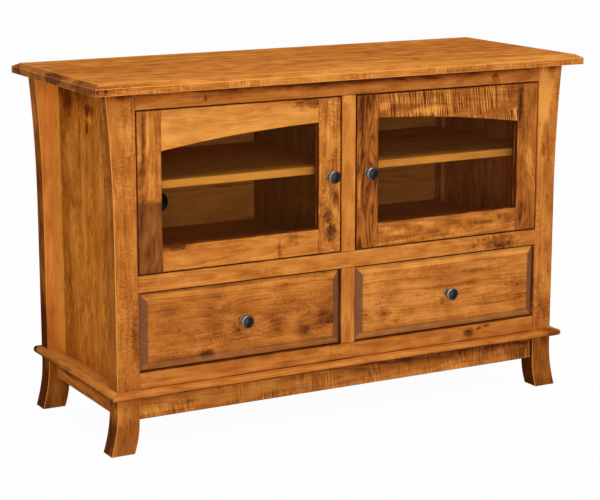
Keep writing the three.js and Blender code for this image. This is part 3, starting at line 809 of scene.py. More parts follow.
def curl_bars(tree, given, swayed):
    """Curly figure: slanting dark and light bars across the grain, in patches"""
    slant = add(tree, "Math", add(tree, "SeparateXYZ", swayed, out="Y"), CURL_SLANT, operation="MULTIPLY")
    place = add(tree, "VectorMath", swayed, add(tree, "CombineXYZ", slant), operation="ADD")
    place = add(tree, "VectorMath", place, given["Curl Size"], operation="DIVIDE")
    bars = add(tree, "MapRange", add(tree, "TexNoise", place, 1, 2), *CURL_CUT, -0.5, 0.5)
    mask = add(tree, "MapRange", speckle(tree, swayed, CURL_MASK_SIZE, 2), *CURL_MASK_CUT)
    return add(tree, "Math", bars, mask, operation="MULTIPLY")


def grain_lines(tree, swayed):
    """Fine dark lines that flow along the grain and close round soft swirls, as a flat-sawn face shows"""
    count = add(tree, "Math", speckle(tree, swayed, LINE_SIZE, 1), LINE_COUNT, operation="MULTIPLY")
    fold = add(tree, "Math", count, 0.5, operation="PINGPONG")
    return add(tree, "MapRange", fold, 0, LINE_WIDE, LINE_DARK, LINE_PALE)


def clustered_flecks(tree, given, swayed, moved):
    """Short dark flecks along the grain, which come in clusters"""
    fleck = add(tree, "MapRange", speckle(tree, swayed, FLECK_SIZE, 1), *FLECK_CUT)
    cluster = add(tree, "MapRange", speckle(tree, moved, CLUSTER_SIZE, 2), *CLUSTER_CUT)
    both = add(tree, "Math", fleck, cluster, operation="MULTIPLY")
    return add(tree, "Math", both, given["Flecks"], operation="MULTIPLY")


def stain(tree, given, depth):
    """Light, middle and dark stain by depth"""
    first = add(tree, "Math", depth, 2, operation="MULTIPLY", use_clamp=True)
    second = add(tree, "Math", depth, 2, -1, operation="MULTIPLY_ADD", use_clamp=True)
    pale = add(tree, "Mix", first, given["Light"], given["Middle"], data_type="RGBA")
    return add(tree, "Mix", second, pale, given["Dark"], data_type="RGBA")


def maple_mark():
    """One knot, patch, streak, painted shadow or painted highlight: an ellipsoid with an uneven edge, added
    to those before it
    """
    sums = ("Mineral", "Stain", "Swirl")
    before = tuple(name + " Before" for name in sums)
    inputs = (("Vector", "Place", "Middle", "Half"), ("Float", *sums, "Edge", "Ragged", *before))
    tree, given = new_group("maple_mark", inputs, (("Float", *sums),))
    away = add(tree, "VectorMath", given["Place"], given["Middle"], operation="SUBTRACT")
    away = add(tree, "VectorMath", away, given["Half"], operation="DIVIDE")
    far = add(tree, "VectorMath", away, operation="LENGTH")
    ragged = speckle(tree, given["Place"], MARK_GRIT_SIZE, 4, 0.6)
    ragged = add(tree, "Math", ragged, 0.5, operation="SUBTRACT")
    torn = add(tree, "Math", ragged, given["Ragged"], far, operation="MULTIPLY_ADD")
    soft = add(tree, "Math", MARK_CUT, given["Edge"], operation="SUBTRACT")
    inside = add(tree, "MapRange", torn, soft, MARK_CUT, 1, 0, interpolation_type="SMOOTHSTEP")
    mineral = add(tree, "Math", inside, given["Mineral"], operation="MULTIPLY")
    mineral = add(tree, "Math", mineral, given["Mineral Before"], operation="MAXIMUM")
    stained = add(tree, "Math", inside, given["Stain"], given["Stain Before"], operation="MULTIPLY_ADD")
    fade = add(tree, "Math", far, far, operation="MULTIPLY")
    fade = add(tree, "Math", fade, -0.5, operation="MULTIPLY")
    fade = add(tree, "Math", fade, operation="EXPONENT")
    swirl = add(tree, "Math", fade, given["Swirl"], given["Swirl Before"], operation="MULTIPLY_ADD")
    add(tree, "NodeGroupOutput", mineral, stained, swirl)
    return tree


def all_marks(tree, board, millimetres):
    """How much mineral, stain and swirl the marks of a board give together"""
    front = (
        Mark((x, FACE, z), (wide, board.deep, high), *rest) for x, z, wide, high, *rest in board.front
    )
    so_far = {"Mineral": 0.0, "Stain": 0.0, "Swirl": 0.0}
    for one in (*board.marks, *front):
        known = {name.title(): value for name, value in vars(one).items()}
        known.update({name + " Before": value for name, value in so_far.items()})
        known["Place"] = millimetres
        outputs = add(tree, "Group", given=known, node_tree=shared(maple_mark)).node.outputs
        so_far = {name: outputs[name] for name in so_far}
    return so_far


def maple(name, board, box=None):
    """Rustic maple with a golden brown stain under satin lacquer: warm and blotchy, dark in its end
    grain, its flecks and its mineral streaks, with a soft sheen"""
    colours = bpy.context.scene.cabinet_maple
    material, tree = new_material(name + "_maple")
    low, high = map(Vector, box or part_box(name))
    turn = ["xyz".index(axis) for axis in board.grain]
    seen = add(tree, "TexCoord", out="Object")
    millimetres = add(tree, "VectorMath", seen, 1 / MM, operation="SCALE")
    local = add(tree, "VectorMath", millimetres, (low + high) / (2 * MM), operation="SUBTRACT")
    axes = add(tree, "SeparateXYZ", local).node.outputs
    turned = add(tree, "CombineXYZ", *(axes[i] for i in turn))
    marks = all_marks(tree, board, millimetres)
    normal = add(tree, "SeparateXYZ", seen.node.outputs["Normal"]).node.outputs
    facing = [add(tree, "Math", normal[i], operation="ABSOLUTE") for i in turn]
    open_grain = facing[0]
    # A lower bevel faces down, away from the lamps: it gets painted shade as darker, greyer end grain
    if board.bevelled:
        down_shade = add(tree, "MapRange", normal[Z], *DOWN_TURN, 0, DOWN_SHADE_SHARE)
        open_grain = add(tree, "Math", open_grain, down_shade, operation="ADD")
    curl = board.curl
    if board.edge_curl:
        curl = add(tree, "MapRange", facing[1], *EDGE_TURN, 0, board.curl)
    half = [((high - low) / (2 * MM))[i] for i in turn]
    away = add(tree, "VectorMath", turned, operation="ABSOLUTE")
    away = add(tree, "VectorMath", half, away, operation="SUBTRACT")
    away = add(tree, "SeparateXYZ", away).node.outputs
    nearest = add(tree, "Math", away["X"], away["Y"], operation="MINIMUM")
    arris = add(tree, "Attribute", attribute_name="arris", out="Fac")
    looks = {
        "Place": turned, "Seed": [board.seed * step for step in SEED_STEP],
        "Board Width": board.boards or NO_BOARDS, "Board Spread": BOARD_SPREAD if board.boards else 0,
        "Pith Depth": board.pith, "Ring Spacing": board.rings, "Wander": board.wander,
        "Tone": board.tone, "Contrast": board.contrast, "Lines": board.lines, "Curl": curl,
        "Curl Size": (*board.curl_size, board.curl_size[1]), "Grit": board.grit * GRIT_SHARE,
        "Flecks": board.flecks, "Streaks": board.streaks,
        "Mark": marks["Mineral"], "Stain": marks["Stain"], "Swirl": marks["Swirl"],
        "End": add(tree, "MapRange", open_grain, *END_TURN, 0, board.end),
        # Side is painted shade on the faces that turn across the board, painted light where it is below
        # zero; Arris is wear and painted highlight on the roundings, painted shade where it is below zero
        "Side": add(tree, "Math", facing[1], board.side, operation="MULTIPLY"),
        "Outline": add(tree, "MapRange", nearest, 0, OUTLINE_WIDTH, board.outline, 0),
        "Arris": add(tree, "Math", arris, board.worn, operation="MULTIPLY"),
        "Mineral": colours.mineral, "Sanded": colours.sanded,
    }
    for shade in ("Light", "Middle", "Dark"):
        looks[shade] = getattr(colours, board.palette + shade.lower())
    grain = add(tree, "Group", given=looks, node_tree=shared(maple_grain)).node.outputs
    relief = {"Strength": 0.3, "Distance": MAPLE_RELIEF, "Height": grain["Height"]}
    bump = add(tree, "Bump", given=relief)
    surface = {
        "Base Color": grain["Colour"], "Roughness": grain["Roughness"], "Normal": bump,
        "Specular IOR Level": board.gloss,
    }
    add(tree, "OutputMaterial", add(tree, "BsdfPrincipled", given=surface))
    return material


def blackened_steel():
    """Blackened steel: nearly black and satin, with a painted highlight in pale grey on its rims, where the
    knob marks it, and a fine grit of bare metal
    """
    colours = bpy.context.scene.cabinet_fittings
    material, tree = new_material("blackened_steel")
    place = add(tree, "TexCoord", out="Object")
    grit = add(tree, "TexNoise", place, STEEL_GRIT, 3)
    cloud = add(tree, "TexNoise", place, STEEL_CLOUDS, 2)
    arris = add(tree, "Attribute", attribute_name="arris", out="Fac")
    uneven = add(tree, "MapRange", cloud, *NOISE_SPAN, 0.6)
    # Painted highlight where the knob marks it, and a fine grit of bare metal in the same pale colour
    highlight_and_grit = add(tree, "Math", arris, uneven, operation="MULTIPLY")
    highlight_and_grit = add(tree, "Math", grit, GRIT_RUBBED, highlight_and_grit, operation="MULTIPLY_ADD")
    shade = add(
        tree, "Mix", highlight_and_grit, colours.gunmetal, colours.gunmetal_worn, data_type="RGBA", clamp_factor=True
    )
    rough = add(tree, "MapRange", cloud, 0, 1, *STEEL_DULL)
    bump = add(tree, "Bump", given={"Strength": 0.2, "Distance": STEEL_RELIEF, "Height": grit})
    surface = {"Base Color": shade, "Metallic": 1, "Roughness": rough, "Normal": bump}
    add(tree, "OutputMaterial", add(tree, "BsdfPrincipled", given=surface))
    return material


def nickel_plate():
    """Nickel plate on pressed steel: bright, a little uneven, with faint rolling lines, which are drawn
    coarser than real ones"""
    colours = bpy.context.scene.cabinet_fittings
    material, tree = new_material("nickel_plate")
    place = add(tree, "TexCoord", out="Object")
    lines = add(tree, "Mapping", given={"Vector": place, "Scale": ROLLING_LINES})
    cloud = add(tree, "TexNoise", place, NICKEL_CLOUDS, 3)
    dull = tuple(NICKEL_SHADE * c for c in colours.nickel[:3]) + (1,)
    shade = add(tree, "Mix", cloud, colours.nickel, dull, data_type="RGBA")
    rough = add(tree, "MapRange", add(tree, "TexNoise", lines, 1, 2), 0, 1, *NICKEL_DULL)
    surface = {"Base Color": shade, "Metallic": 1, "Roughness": rough}
    add(tree, "OutputMaterial", add(tree, "BsdfPrincipled", given=surface))
    return material


def float_glass():
    """Clear float glass: it takes a little light away and shows a faint reflection, with thin dust"""
    colours = bpy.context.scene.cabinet_fittings
    material, tree = new_material("float_glass")
    dust = add(tree, "TexNoise", add(tree, "TexCoord", out="Object"), GLASS_DUST, 5)
    rough = add(tree, "MapRange", dust, 0.4, 1, *GLASS_DULL)
    through = add(tree, "BsdfTransparent", colours.glass)
    mirror = add(tree, "BsdfGlossy", colours.glass, rough)
    # The reflection is capped where the glass is seen edge-on, and kept weak so that the inside shows
    capped = add(tree, "Math", add(tree, "Fresnel", GLASS_INDEX), GLASS_CAP, operation="MINIMUM")
    weak = add(tree, "Math", capped, GLASS_MIRROR, operation="MULTIPLY")
    add(tree, "OutputMaterial", add(tree, "MixShader", weak, through, mirror))
    return material


def black_rubber():
    """Black moulded rubber: dark, dull and a little dusty, so that it shows no highlight"""
    material, tree = new_material("black_rubber")
    dust = add(tree, "TexNoise", add(tree, "TexCoord", out="Object"), RUBBER_DUST, 4)
    shade = add(tree, "Mix", dust, linear("0C0C0D"), linear("1E1E20"), data_type="RGBA")
    rough = add(tree, "MapRange", dust, 0, 1, *RUBBER_DULL)
    surface = {"Base Color": shade, "Roughness": rough, "Specular IOR Level": 0.2}
    add(tree, "OutputMaterial", add(tree, "BsdfPrincipled", given=surface))
    return material


# How each board looks, with the marks that the photograph shows in their real places
# Some marks are painted shade and painted light, as noted beside them
BOARDS = {
    "top_board": Board(
        "xyz", 1, tone=0.38, boards=112, contrast=0.6, lines=0.1, curl=0.4, curl_size=(4, 30),
        edge_curl=True, flecks=0.25, streaks=0.2, grit=0.5, side=0.14, end=0.5, outline=0, worn=0.6,
        gloss=0,
        marks=(
            Mark((209, 41, 830), (20, 12, 20), 0.5, 0.35, 16),
            Mark((223, -141, 830), (16, 9, 20), 0.45, 0.3, 12),
            Mark((-635, -7, 828), (16, 56, 24), 0.1, 0.4, 0, 0.4),
            Mark((-600, -251, 822), (60, 14, 16), 0.05, 0.35, 0, 0.9),
            Mark((-520, -251, 824), (60, 14, 10), 0, 0.25, 0, 1),
            Mark((-635, -190, 824), (18, 70, 26), 0.1, 0.3, 0, 0.4),
            Mark((-640, 215, 820), (14, 34, 24), 0.2, 0.35, 0, 0.6),
        ),
    ),
    "post_front_left": Board(
        "zxy", 2, tone=0.55, contrast=0.5, curl=0.22, curl_size=(3.5, 10), side=0.1, outline=0,
        worn=0.8, gloss=0, grit=1.4,
        marks=(
            Mark((-590, -204, 700), (40, 10, 330), 0, 0.12, 0, 0.5, 0.1),
            # Painted shadow under the top's overhang
            Mark((-560, FACE, 808), (60, 60, 25), 0.1, 0.7, 0, 1, 0.2),
        ),
        # The last front mark is painted shade along the gap beside the door
        front=(
            (-556, 645, 22, 40, 0, 0.15, 6), (-556, 722, 26, 30, 0, -0.25, 0, 1),
            (-538, 260, 14, 100, 0.1, 0.3, 0, 0.9), (-529, 480, 3, 900, 0, 0.3, 0, 0.5, 0.2),
        ),
    ),
    "post_front_right": Board(
        "zxy", 3, tone=0.44, curl=0.2, flecks=0.6, side=0.15, outline=0, worn=0.4,
        # Painted shadow under the top's overhang; the last front mark is painted shade along the gap beside
        # the door
        marks=(Mark((560, FACE, 808), (60, 60, 25), 0.1, 0.7, 0, 1, 0.2),),
        front=(
            (545, 735, 34, 110, 0, -0.5, 0, 0.9, 0.8), (558, 205, 40, 80, 0.05, 0.25, 0, 0.9),
            (556, 650, 13, 30, 0.15, 0.2, 6), (549, 600, 10, 22, 0.15, 0.25, 5),
            (529, 480, 3, 900, 0, 0.25, 0, 0.5, 0.2),
        ),
    ),
    "post_rear_left": Board(
        "zxy", 4, tone=0.14, contrast=0.5, flecks=0.1, streaks=0, side=0.62, outline=0, worn=0.5, gloss=0,
        marks=(
            Mark((-590, 225, 200), (60, 40, 100), 0.2, 0.4, 0, 1, 0.2),
            Mark((-590, 240, 720), (60, 60, 150), 0, -0.25, 0, 1, 0.4),
        ),
    ),
    "post_rear_right": Board("zxy", 5, side=0.2, outline=0, worn=0.4),
    "side_panel_left": Board(
        "zyx", 6, tone=0.3, contrast=0.42, lines=0.04, flecks=0.3, streaks=0, curl=0.3, curl_size=(26, 12),
        outline=0, worn=0, grit=0.4, palette="side_", gloss=0,
        marks=(
            Mark((-560, 130, 450), (60, 90, 900), 0, 0.22, 0, 1, 0.1),
            Mark((-560, 180, 450), (60, 31, 900), 0, -0.5, 0, 0.12, 0.03),
            Mark((-560, 29, 640), (60, 3.4, 150), 0, 0.35, 0, 0.9, 0.2),
            Mark((-560, 8, 450), (60, 11, 300), 0, -0.16, 0, 1, 0.4),
            Mark((-560, -148, 450), (60, 12, 900), 0, 0.08, 0, 1, 0.1),
            Mark((-560, -110, 590), (14, 50, 110), 0, -0.3, 0, 1, 1),
            Mark((-560, 95, 620), (14, 40, 90), 0, -0.3, 0, 1, 1),
            Mark((-560, 75, 430), (14, 40, 110), 0, -0.3, 0, 1, 1),
            Mark((-560, -30, 745), (14, 40, 18), 0.1, 0.5, 18),
            Mark((-560, -16, 706), (14, 10, 24), 0.15, 0.5, 14),
            Mark((-560, -34, 730), (14, 9, 20), 0, -0.6, 10),
            Mark((-560, 96, 745), (14, 34, 36), 0, 0.4, 8),
            # Painted shadow under the top's overhang
            Mark((-560, 55, 786), (60, 160, 52), 0, 0.55, 0, 1, 0.4),
        ),
    ),
    "side_panel_right": Board(
        "zyx", 7, tone=0.52, contrast=0.4, curl=0.25, curl_size=(26, 12), flecks=0.3, streaks=0, outline=0,
        worn=0, palette="side_",
    ),
    "top_rail": Board(
        "xzy", 8, tone=0.44, contrast=0.5,
        # Painted shadow under the top's overhang
        marks=(Mark((0, FACE, 808), (900, 60, 27), 0.1, 0.8, 0, 1, 0.2),),
        front=((402, 783, 14, 13, 0.1, 0.35, 4, 1, 2.5), (-362, 786, 5, 13, 0.1, 0.35, 3, 1, 2)),
    ),
    "middle_rail": Board(
        "xzy", 9, tone=0.36, contrast=0.55, flecks=0.3, grit=1.3,
        front=(
            (415, 383, 80, 24, 0.1, 0.4, 4, 1, 2.2), (-213, 368, 70, 20, 0, 0.25, 0, 1),
            (480, 371, 60, 9, 0.15, 0.2, 4, 1, 2.2),
        ),
    ),
    "bottom_rail": Board(
        "xzy", 10, tone=0.44, contrast=0.5, flecks=0.25, grit=0.6,
        marks=(Mark((0, FACE, 146), (900, 60, 4), 0, 0.4, 0, 0.7, 0.2),),
        front=(
            (-42, 172, 60, 16, 0, -0.35, 0, 1), (392, 178, 11, 6, 0.5, 0.4, 5),
            (368, 173, 9, 5, 0.4, 0.35, 4), (341, 166, 18, 14, 0.05, 0.3, 3),
        ),
    ),
    "upper_centre_stile": Board(
        "zxy", 11, tone=0.36, contrast=0.5, flecks=0.2, streaks=0.1,
        front=((5, 425, 16, 44, 0, 0.22, 0, 1), (-8, 762, 22, 22, 0, -0.35, 0, 1)),
    ),
    "lower_centre_stile": Board("zxy", 12, contrast=0.55, flecks=0.3),
    "base_moulding_front": Board(
        "xyz", 13, tone=0.42, contrast=0.5, flecks=0.2, streaks=0.1, side=0.06, outline=0, worn=0, gloss=0,
        marks=(
            # Painted shade on the lower half of the nose, and painted light on its upper half
            Mark((0, -240, 129), (900, 40, 7), 0.15, 0.5, 0, 0.5, 0.3),
            Mark((0, -238, 141), (900, 30, 7), 0, -0.12, 0, 1, 0.6),
            Mark((575, -235, 142), (36, 60, 20), 0.05, 0.35, 0, 1),
        ),
    ),
    "base_moulding_left": Board(
        "yxz", 14, tone=0.3, contrast=0.6, flecks=0.2, side=0.3, outline=0, worn=0, gloss=0,
        marks=(
            # Painted shade on the lower half of the nose
            Mark((-614, 0, 131), (30, 900, 9), 0.15, 0.45, 0, 0.6, 0.5),
            Mark((-614, 246, 138), (40, 16, 20), 0.7, 0.6, 0, 0.6, 0.5),
        ),
    ),
    "base_moulding_right": Board("yxz", 15, tone=0.42, side=0.2, outline=0, worn=0, gloss=0),
    "skirt_front": Board(
        "xzy", 16, tone=0.5, contrast=0.55, curl=0.4, curl_size=(3.5, 30), flecks=0.3, outline=0,
        marks=(
            Mark((495, FACE, 97), (50, 40, 60), 0.05, 0.2),
            # Painted shadow under the moulding
            Mark((300, FACE, 124), (560, 60, 32), 0.15, 0.5, 0, 1, 0.3),
            Mark((-500, FACE, 95), (50, 40, 20), 0, -0.2, 0, 1),
        ),
    ),
    "skirt_left": Board(
        "yzx", 17, tone=0.5, outline=0, gloss=0,
        # Painted shadow under the moulding
        marks=(Mark((-584, 0, 120), (60, 900, 24), 0.1, 0.6, 0, 1, 0.3),),
    ),
    "skirt_right": Board("yzx", 18, tone=0.5, outline=0),
    "skirt_rear": Board("xzy", 19, tone=0.5, outline=0),
    "foot_front_left": Board(
        "zxy", 20, tone=0.62, contrast=0.4, flecks=0.15, streaks=0.3, side=0.35, end=0.3, outline=0,
        worn=0.9, gloss=0,
        marks=(
            Mark((-560, FACE, 50), (80, 70, 130), 0.12, 0.05, 0, 1, 1),
            Mark((-582, FACE, 96), (44, 60, 34), 0, -0.45, 0, 1),
        ),
    ),
    "foot_front_right": Board(
        "zxy", 21, tone=0.68, contrast=0.45, flecks=0.2, side=0.5, end=0.3, outline=0, worn=1, gloss=0,
    ),
    "foot_rear_left": Board(
        "zxy", 22, tone=0.74, contrast=0.45, flecks=0.2, side=0.3, end=0.3, outline=0, worn=1.3, gloss=0,
        marks=(Mark((-600, 225, 10), (24, 60, 60), 0.1, 0.3, 0, 1, 0.3),),
    ),
    "foot_rear_right": Board(
        "zxy", 23, tone=0.6, contrast=0.45, flecks=0.2, side=0.35, end=0.3, outline=0, worn=0.5,
    ),
    "deck_board": Board("xyz", 24, tone=0.34, contrast=0.25, lines=0, outline=0, worn=0, palette="inner_"),
    "centre_partition": Board(
        "zyx", 25, tone=0.54, contrast=0.3, lines=0.02, wander=40, flecks=0.8, outline=0, worn=0,
        palette="inner_",
    ),
    "shelf_left": Board(
        "xyz", 26, tone=0.08, contrast=0.5, lines=0.05, side=-0.06, outline=0, worn=0, palette="inner_",
        gloss=0,
    ),
    "shelf_right": Board(
        "xyz", 27, tone=0.12, contrast=0.5, lines=0.05, side=-0.06, outline=0, worn=0, palette="inner_",
        gloss=0,
    ),
    "back_panel": Board(
        "xzy", 28, tone=0.15, contrast=0.4, pith=20, rings=11, wander=50, flecks=0.6, outline=0, worn=0,
        palette="inner_",
    ),
    "door_left_hinge_stile": Board(
        "zxy", 30, tone=0.43, contrast=0.85, streaks=0.3, side=0.7, grit=2.3,
        marks=(
            Mark((-499, FACE, 380), (600, 60, 174), 0.55, 0.1, 0, 0.06, 0.1),
            Mark((-499, FACE, 400), (60, 60, 24), 0.3, 0.1, 4, 1),
        ),
        front=(
            (-513, 705, 7, 84, 0.55, 0.3, 4, 1), (-524, 701, 5, 50, 0, -0.3, 0, 1),
            (-500, 700, 4, 70, 0, -0.35, 0, 1, 0.8), (-514, 622, 13, 66, 0.5, 0.25, 6, 1),
        ),
    ),
    "door_left_pull_stile": Board(
        "zxy", 31, tone=0.53, contrast=0.85, curl=0.25, flecks=0.9, side=0.7, grit=2.3,
        # The mark at x -46, z 552 is painted shadow under the knob
        front=(
            (-48, 454, 20, 28, 0.5, 0.45, 26, 1), (-54, 492, 17, 26, 0.35, 0.45, 18, 1),
            (-46, 552, 12, 26, 0.05, 0.2, 6, 1), (-27, 655, 9, 70, 0, -0.3, 4, 1),
            (-33, 530, 9, 26, 0.15, 0.3, 6),
        ),
    ),
    "door_left_top_rail": Board(
        "xzy", 32, tone=0.14, contrast=0.5, lines=0.12, flecks=0.15, streaks=0.05, wander=50, grit=0.7,
        front=((-92, 754, 66, 15, 0.1, 0.55, 3), (-472, 734, 34, 18, 0, -0.25, 0, 1)),
    ),
    "door_left_bottom_rail": Board(
        "xzy", 33, tone=0.36, contrast=0.6, flecks=0.35, streaks=0.1, grit=1.2,
        front=(
            (-445, 460, 44, 12, 0.15, 0.4, 3), (-180, 425, 6, 30, 0.05, 0.3, 4),
            (-145, 450, 26, 18, 0.05, 0.35, 0, 1),
        ),
    ),
    "door_right_hinge_stile": Board(
        "zxy", 34, tone=0.52, contrast=0.6, lines=0.12, streaks=0.25, wander=40, side=0.7, grit=1.6,
        front=(
            (479, 715, 11, 70, 0.45, 0.35, 5, 1), (509, 573, 20, 50, 0, -0.45, 10, 1),
            (484, 450, 12, 50, 0.15, 0.25, 8, 1),
        ),
    ),
    "door_right_pull_stile": Board(
        "zxy", 35, tone=0.72, contrast=0.45, lines=0.34, flecks=0.8, streaks=0.25, wander=50, side=0.7,
        grit=2.4,
        front=(
            (74, 730, 12, 46, 0, -0.35, 6, 1), (74, 440, 9, 46, 0, -0.3, 6, 1),
            (28, 545, 9, 60, 0, -0.35, 6, 1), (26, 660, 9, 70, 0, -0.3, 6, 1),
        ),
    ),
    "door_right_top_rail": Board(
        "xzy", 36, tone=0.62, contrast=0.5, lines=0, curl=1.15, curl_size=(2, 70), flecks=0.25, grit=1.6,
        front=(
            (92, 734, 22, 12, 0, -0.35), (122, 730, 20, 26, 0.1, 0.25, 0, 1),
            (222, 719, 80, 14, 0, -0.5, 0, 1), (228, 754, 42, 10, 0.05, 0.25, 0, 1),
            (440, 750, 26, 20, 0.1, 0.1),
        ),
    ),
    "door_right_bottom_rail": Board(
        "xzy", 37, tone=0.5, contrast=0.8, curl=0.2, curl_size=(6, 24), flecks=0.4,
        front=(
            (150, 430, 50, 24, 0, -0.28, 0, 1), (230, 428, 30, 10, 0, 0.15, 6),
            (370, 436, 50, 9, 0, 0.2, 6), (300, 418, 50, 16, 0, -0.3, 0, 1),
        ),
    ),
    "drawer_left_front": Board(
        "xzy", 38, tone=0.59, contrast=0.6, curl=0.14, curl_size=(3.5, 9), flecks=1, end=1.7,
        side=0.1, outline=0.05, worn=-0.1, bevelled=True, deep=16,
        marks=(
            # Painted light on the lower and the upper bevel, and painted shade in the gap along the top
            Mark((-274, FACE, 188), (700, 20, 17), 0, -0.38, 0, 0.3, 0.05),
            Mark((-274, FACE, 356), (700, 20, 11), 0, -0.2, 0, 0.3, 0.05),
            Mark((-274, FACE, 365), (700, 40, 4), 0.8, 1, 0, 0.3, 0.05),
        ),
        front=(
            (-288, 252, 16, 20, 0.25, 0.35, 8, 1), (-363, 207, 24, 14, 0.5, 0.3, 8),
            (-145, 262, 26, 30, 0, -0.25, 0, 1), (-60, 255, 36, 56, 0.15, 0.2, 8, 1),
            (-119, 229, 24, 18, 0.15, 0.35, 6, 1), (-319, 297, 24, 20, 0.05, 0.2, 10, 1),
            (-190, 245, 30, 22, 0.05, 0.25, 10, 1), (-430, 205, 60, 12, 0.15, 0.05, 8, 1),
        ),
    ),
    "drawer_right_front": Board(
        "xzy", 39, tone=0.47, contrast=0.62, curl=0.1, curl_size=(3.5, 9), flecks=1, grit=0.9, end=1.9,
        side=0.1, outline=0.05, worn=-0.1, bevelled=True, deep=16,
        marks=(
            # The first three marks: painted light on the lower and the upper bevel, and painted shade in the
            # gap along the top
            Mark((274, FACE, 188), (700, 20, 17), 0, -0.42, 0, 0.3, 0.05),
            Mark((274, FACE, 356), (700, 20, 11), 0, -0.26, 0, 0.3, 0.05),
            Mark((274, FACE, 365), (700, 40, 4), 0.8, 1, 0, 0.3, 0.05),
            Mark((70, FACE, 330), (40, 20, 24), 0, -0.25, 0, 1),
        ),
        front=(
            (98, 242, 26, 18, 0.15, 0.3, 16, 1), (132, 222, 20, 12, 0.15, 0.25, 14, 1),
            (370, 320, 90, 8, 0.2, 0.25, 4, 1), (300, 290, 90, 6, 0.15, 0.25, 4, 1),
            (480, 271, 4, 4, 0.4, 0.3, 5), (180, 330, 30, 14, 0, -0.25, 0, 1),
            (481, 261, 50, 50, 0.05, 0.22, 0, 1), (262, 252, 9, 14, 0.15, 0.3, 6),
        ),
    ),
}


# Pieces


class TopBoard(bpy.types.Operator):
    """Makes the top: glued boards with a bevel round the upper face"""

    bl_idname = "cabinet.top_board"
    bl_label = "Top board"

    def execute(self, context):
        case = context.scene.cabinet_case
        low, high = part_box("top_board")
        shoulder = high.z - case.top_drop
        piece = block("top_board_finished", low, (high.x, high.y, shoulder))
        with editing(piece):
            pick(piece, "faces", (Z, shoulder))
            bpy.ops.mesh.inset(thickness=case.top_bevel, depth=case.top_drop)
        finish_board(piece, "top_board")
        return {"FINISHED"}


class Posts(bpy.types.Operator):
    """Makes the four corner posts, which sweep out under the top"""

    bl_idname = "cabinet.posts"
    bl_label = "Corner posts"

    def execute(self, context):
        case = context.scene.cabinet_case
        steps = case.sweep_steps
        for place, name, sign in CORNERS:
            node = f"post_{place}_{name}"
            low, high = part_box(node)
            inner, outer = sides_of(node, sign)
            outer -= sign * case.post_flare
            start = high.z - case.post_flare_length
            back = high.y if place == "front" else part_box("back_panel")[0].y
            piece = block(node + "_finished", (inner, low.y, low.z), (outer, back, start))
            flares = [sign * case.post_flare * ((i + 1) / steps) ** 2 for i in range(steps)]
            with editing(piece):
                if place == "rear":
                    rebate = inner + sign * case.rebate
                    bisect(X, rebate)
                    pick(piece, "faces", (Y, back), but=[(X, inner, rebate)])
                    extrude(y=high.y - back)
                edges = [(inner, outer + flare) for flare in flares]
                sweep(piece, start, case.post_flare_length / steps, sign, edges)
            tidy(piece, flat=False)
            joints = ends(node, Z)
            if place == "front":
                joints.append([(X, inner)])
            finish_board(piece, node, joints)
        return {"FINISHED"}


class Feet(bpy.types.Operator):
    """Makes the four feet, which sweep out to the floor"""

    bl_idname = "cabinet.feet"
    bl_label = "Feet"

    def execute(self, context):
        case = context.scene.cabinet_case
        steps = case.sweep_steps
        top = case.foot_flare_length
        for place, name, sign in CORNERS:
            node = f"foot_{place}_{name}"
            low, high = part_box(node)
            inner, outer = sides_of(node, sign)
            outer -= sign * case.foot_flare
            piece = block(node + "_finished", (inner, low.y, top), (outer, high.y, high.z))
            edges = []
            for i in range(steps):
                level = top * (1 - (i + 1) / steps)
                toe = case.toe_flare * max(0, 1 - level / case.toe_flare_length) ** 2
                out = case.foot_flare * (1 - level / top) ** 2
                edges.append((inner + sign * toe, outer + sign * out))
            with editing(piece):
                sweep(piece, top, -top / steps, sign, edges)
            tidy(piece, flat=False)
            finish_board(piece, node, [[(Z, high.z)]])
        return {"FINISHED"}


class FaceFrame(bpy.types.Operator):
    """Makes the rails and centre stiles of the face frame"""

    bl_idname = "cabinet.face_frame"
    bl_label = "Face frame"

    def execute(self, context):
        left, right = (corner.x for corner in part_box("upper_centre_stile"))
        for node in ("top_rail", "middle_rail", "bottom_rail"):
            piece = blank(node)
            with editing(piece):
                bisect(X, left, right)
            bottom, top = ends(node, Z)
            joints = ends(node, X) + [[*joint, (X, left, right)] for joint in (bottom, top)]
            joints += {"top_rail": [top], "bottom_rail": [bottom]}.get(node, [])
            finish_board(piece, node, joints)
        for node in ("upper_centre_stile", "lower_centre_stile"):
            finish_board(blank(node), node, ends(node, Z))
        return {"FINISHED"}


class Base(bpy.types.Operator):
    """Makes the base moulding, mitred at the front corners, and the skirts under it"""

    bl_idname = "cabinet.base"
    bl_label = "Base moulding and skirts"

    def execute(self, context):
        node = "base_moulding_front"
        low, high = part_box(node)
        width = high.y - low.y
        piece = blank(node)
        with editing(piece):
            for end, inward in ((low.x, width), (high.x, -width)):
                pick(piece, "verts", (Y, high.y), (X, end))
                shift(x=inward)
        self.finish(context, piece, node, Y, low.y)
        for name, sign in SIDES:
            node = "base_moulding_" + name
            low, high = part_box(node)
            inner, outer = sides_of(node, sign)
            piece = blank(node)
            with editing(piece):
                pick(piece, "verts", (Y, low.y), (X, inner))
                shift(y=width)
            self.finish(context, piece, node, X, outer)
        for place, axis in (("front", X), ("left", Y), ("right", Y), ("rear", X)):
            node = "skirt_" + place
            finish_board(blank(node), node, ends(node, axis) + ends(node, Z)[1:])
        return {"FINISHED"}

    def finish(self, context, piece, node, axis, outer):
        """Rounds the nose of a moulding and finishes it"""
        case = context.scene.cabinet_case
        with editing(piece):
            pick(piece, "edges", (axis, outer), lambda edge: not runs(edge, Z))
            bpy.ops.mesh.bevel(offset=case.nose, segments=8, profile=0.5, affect="EDGES")
        tidy(piece, flat=False)
        finish_board(piece, node, radius=case.joint)


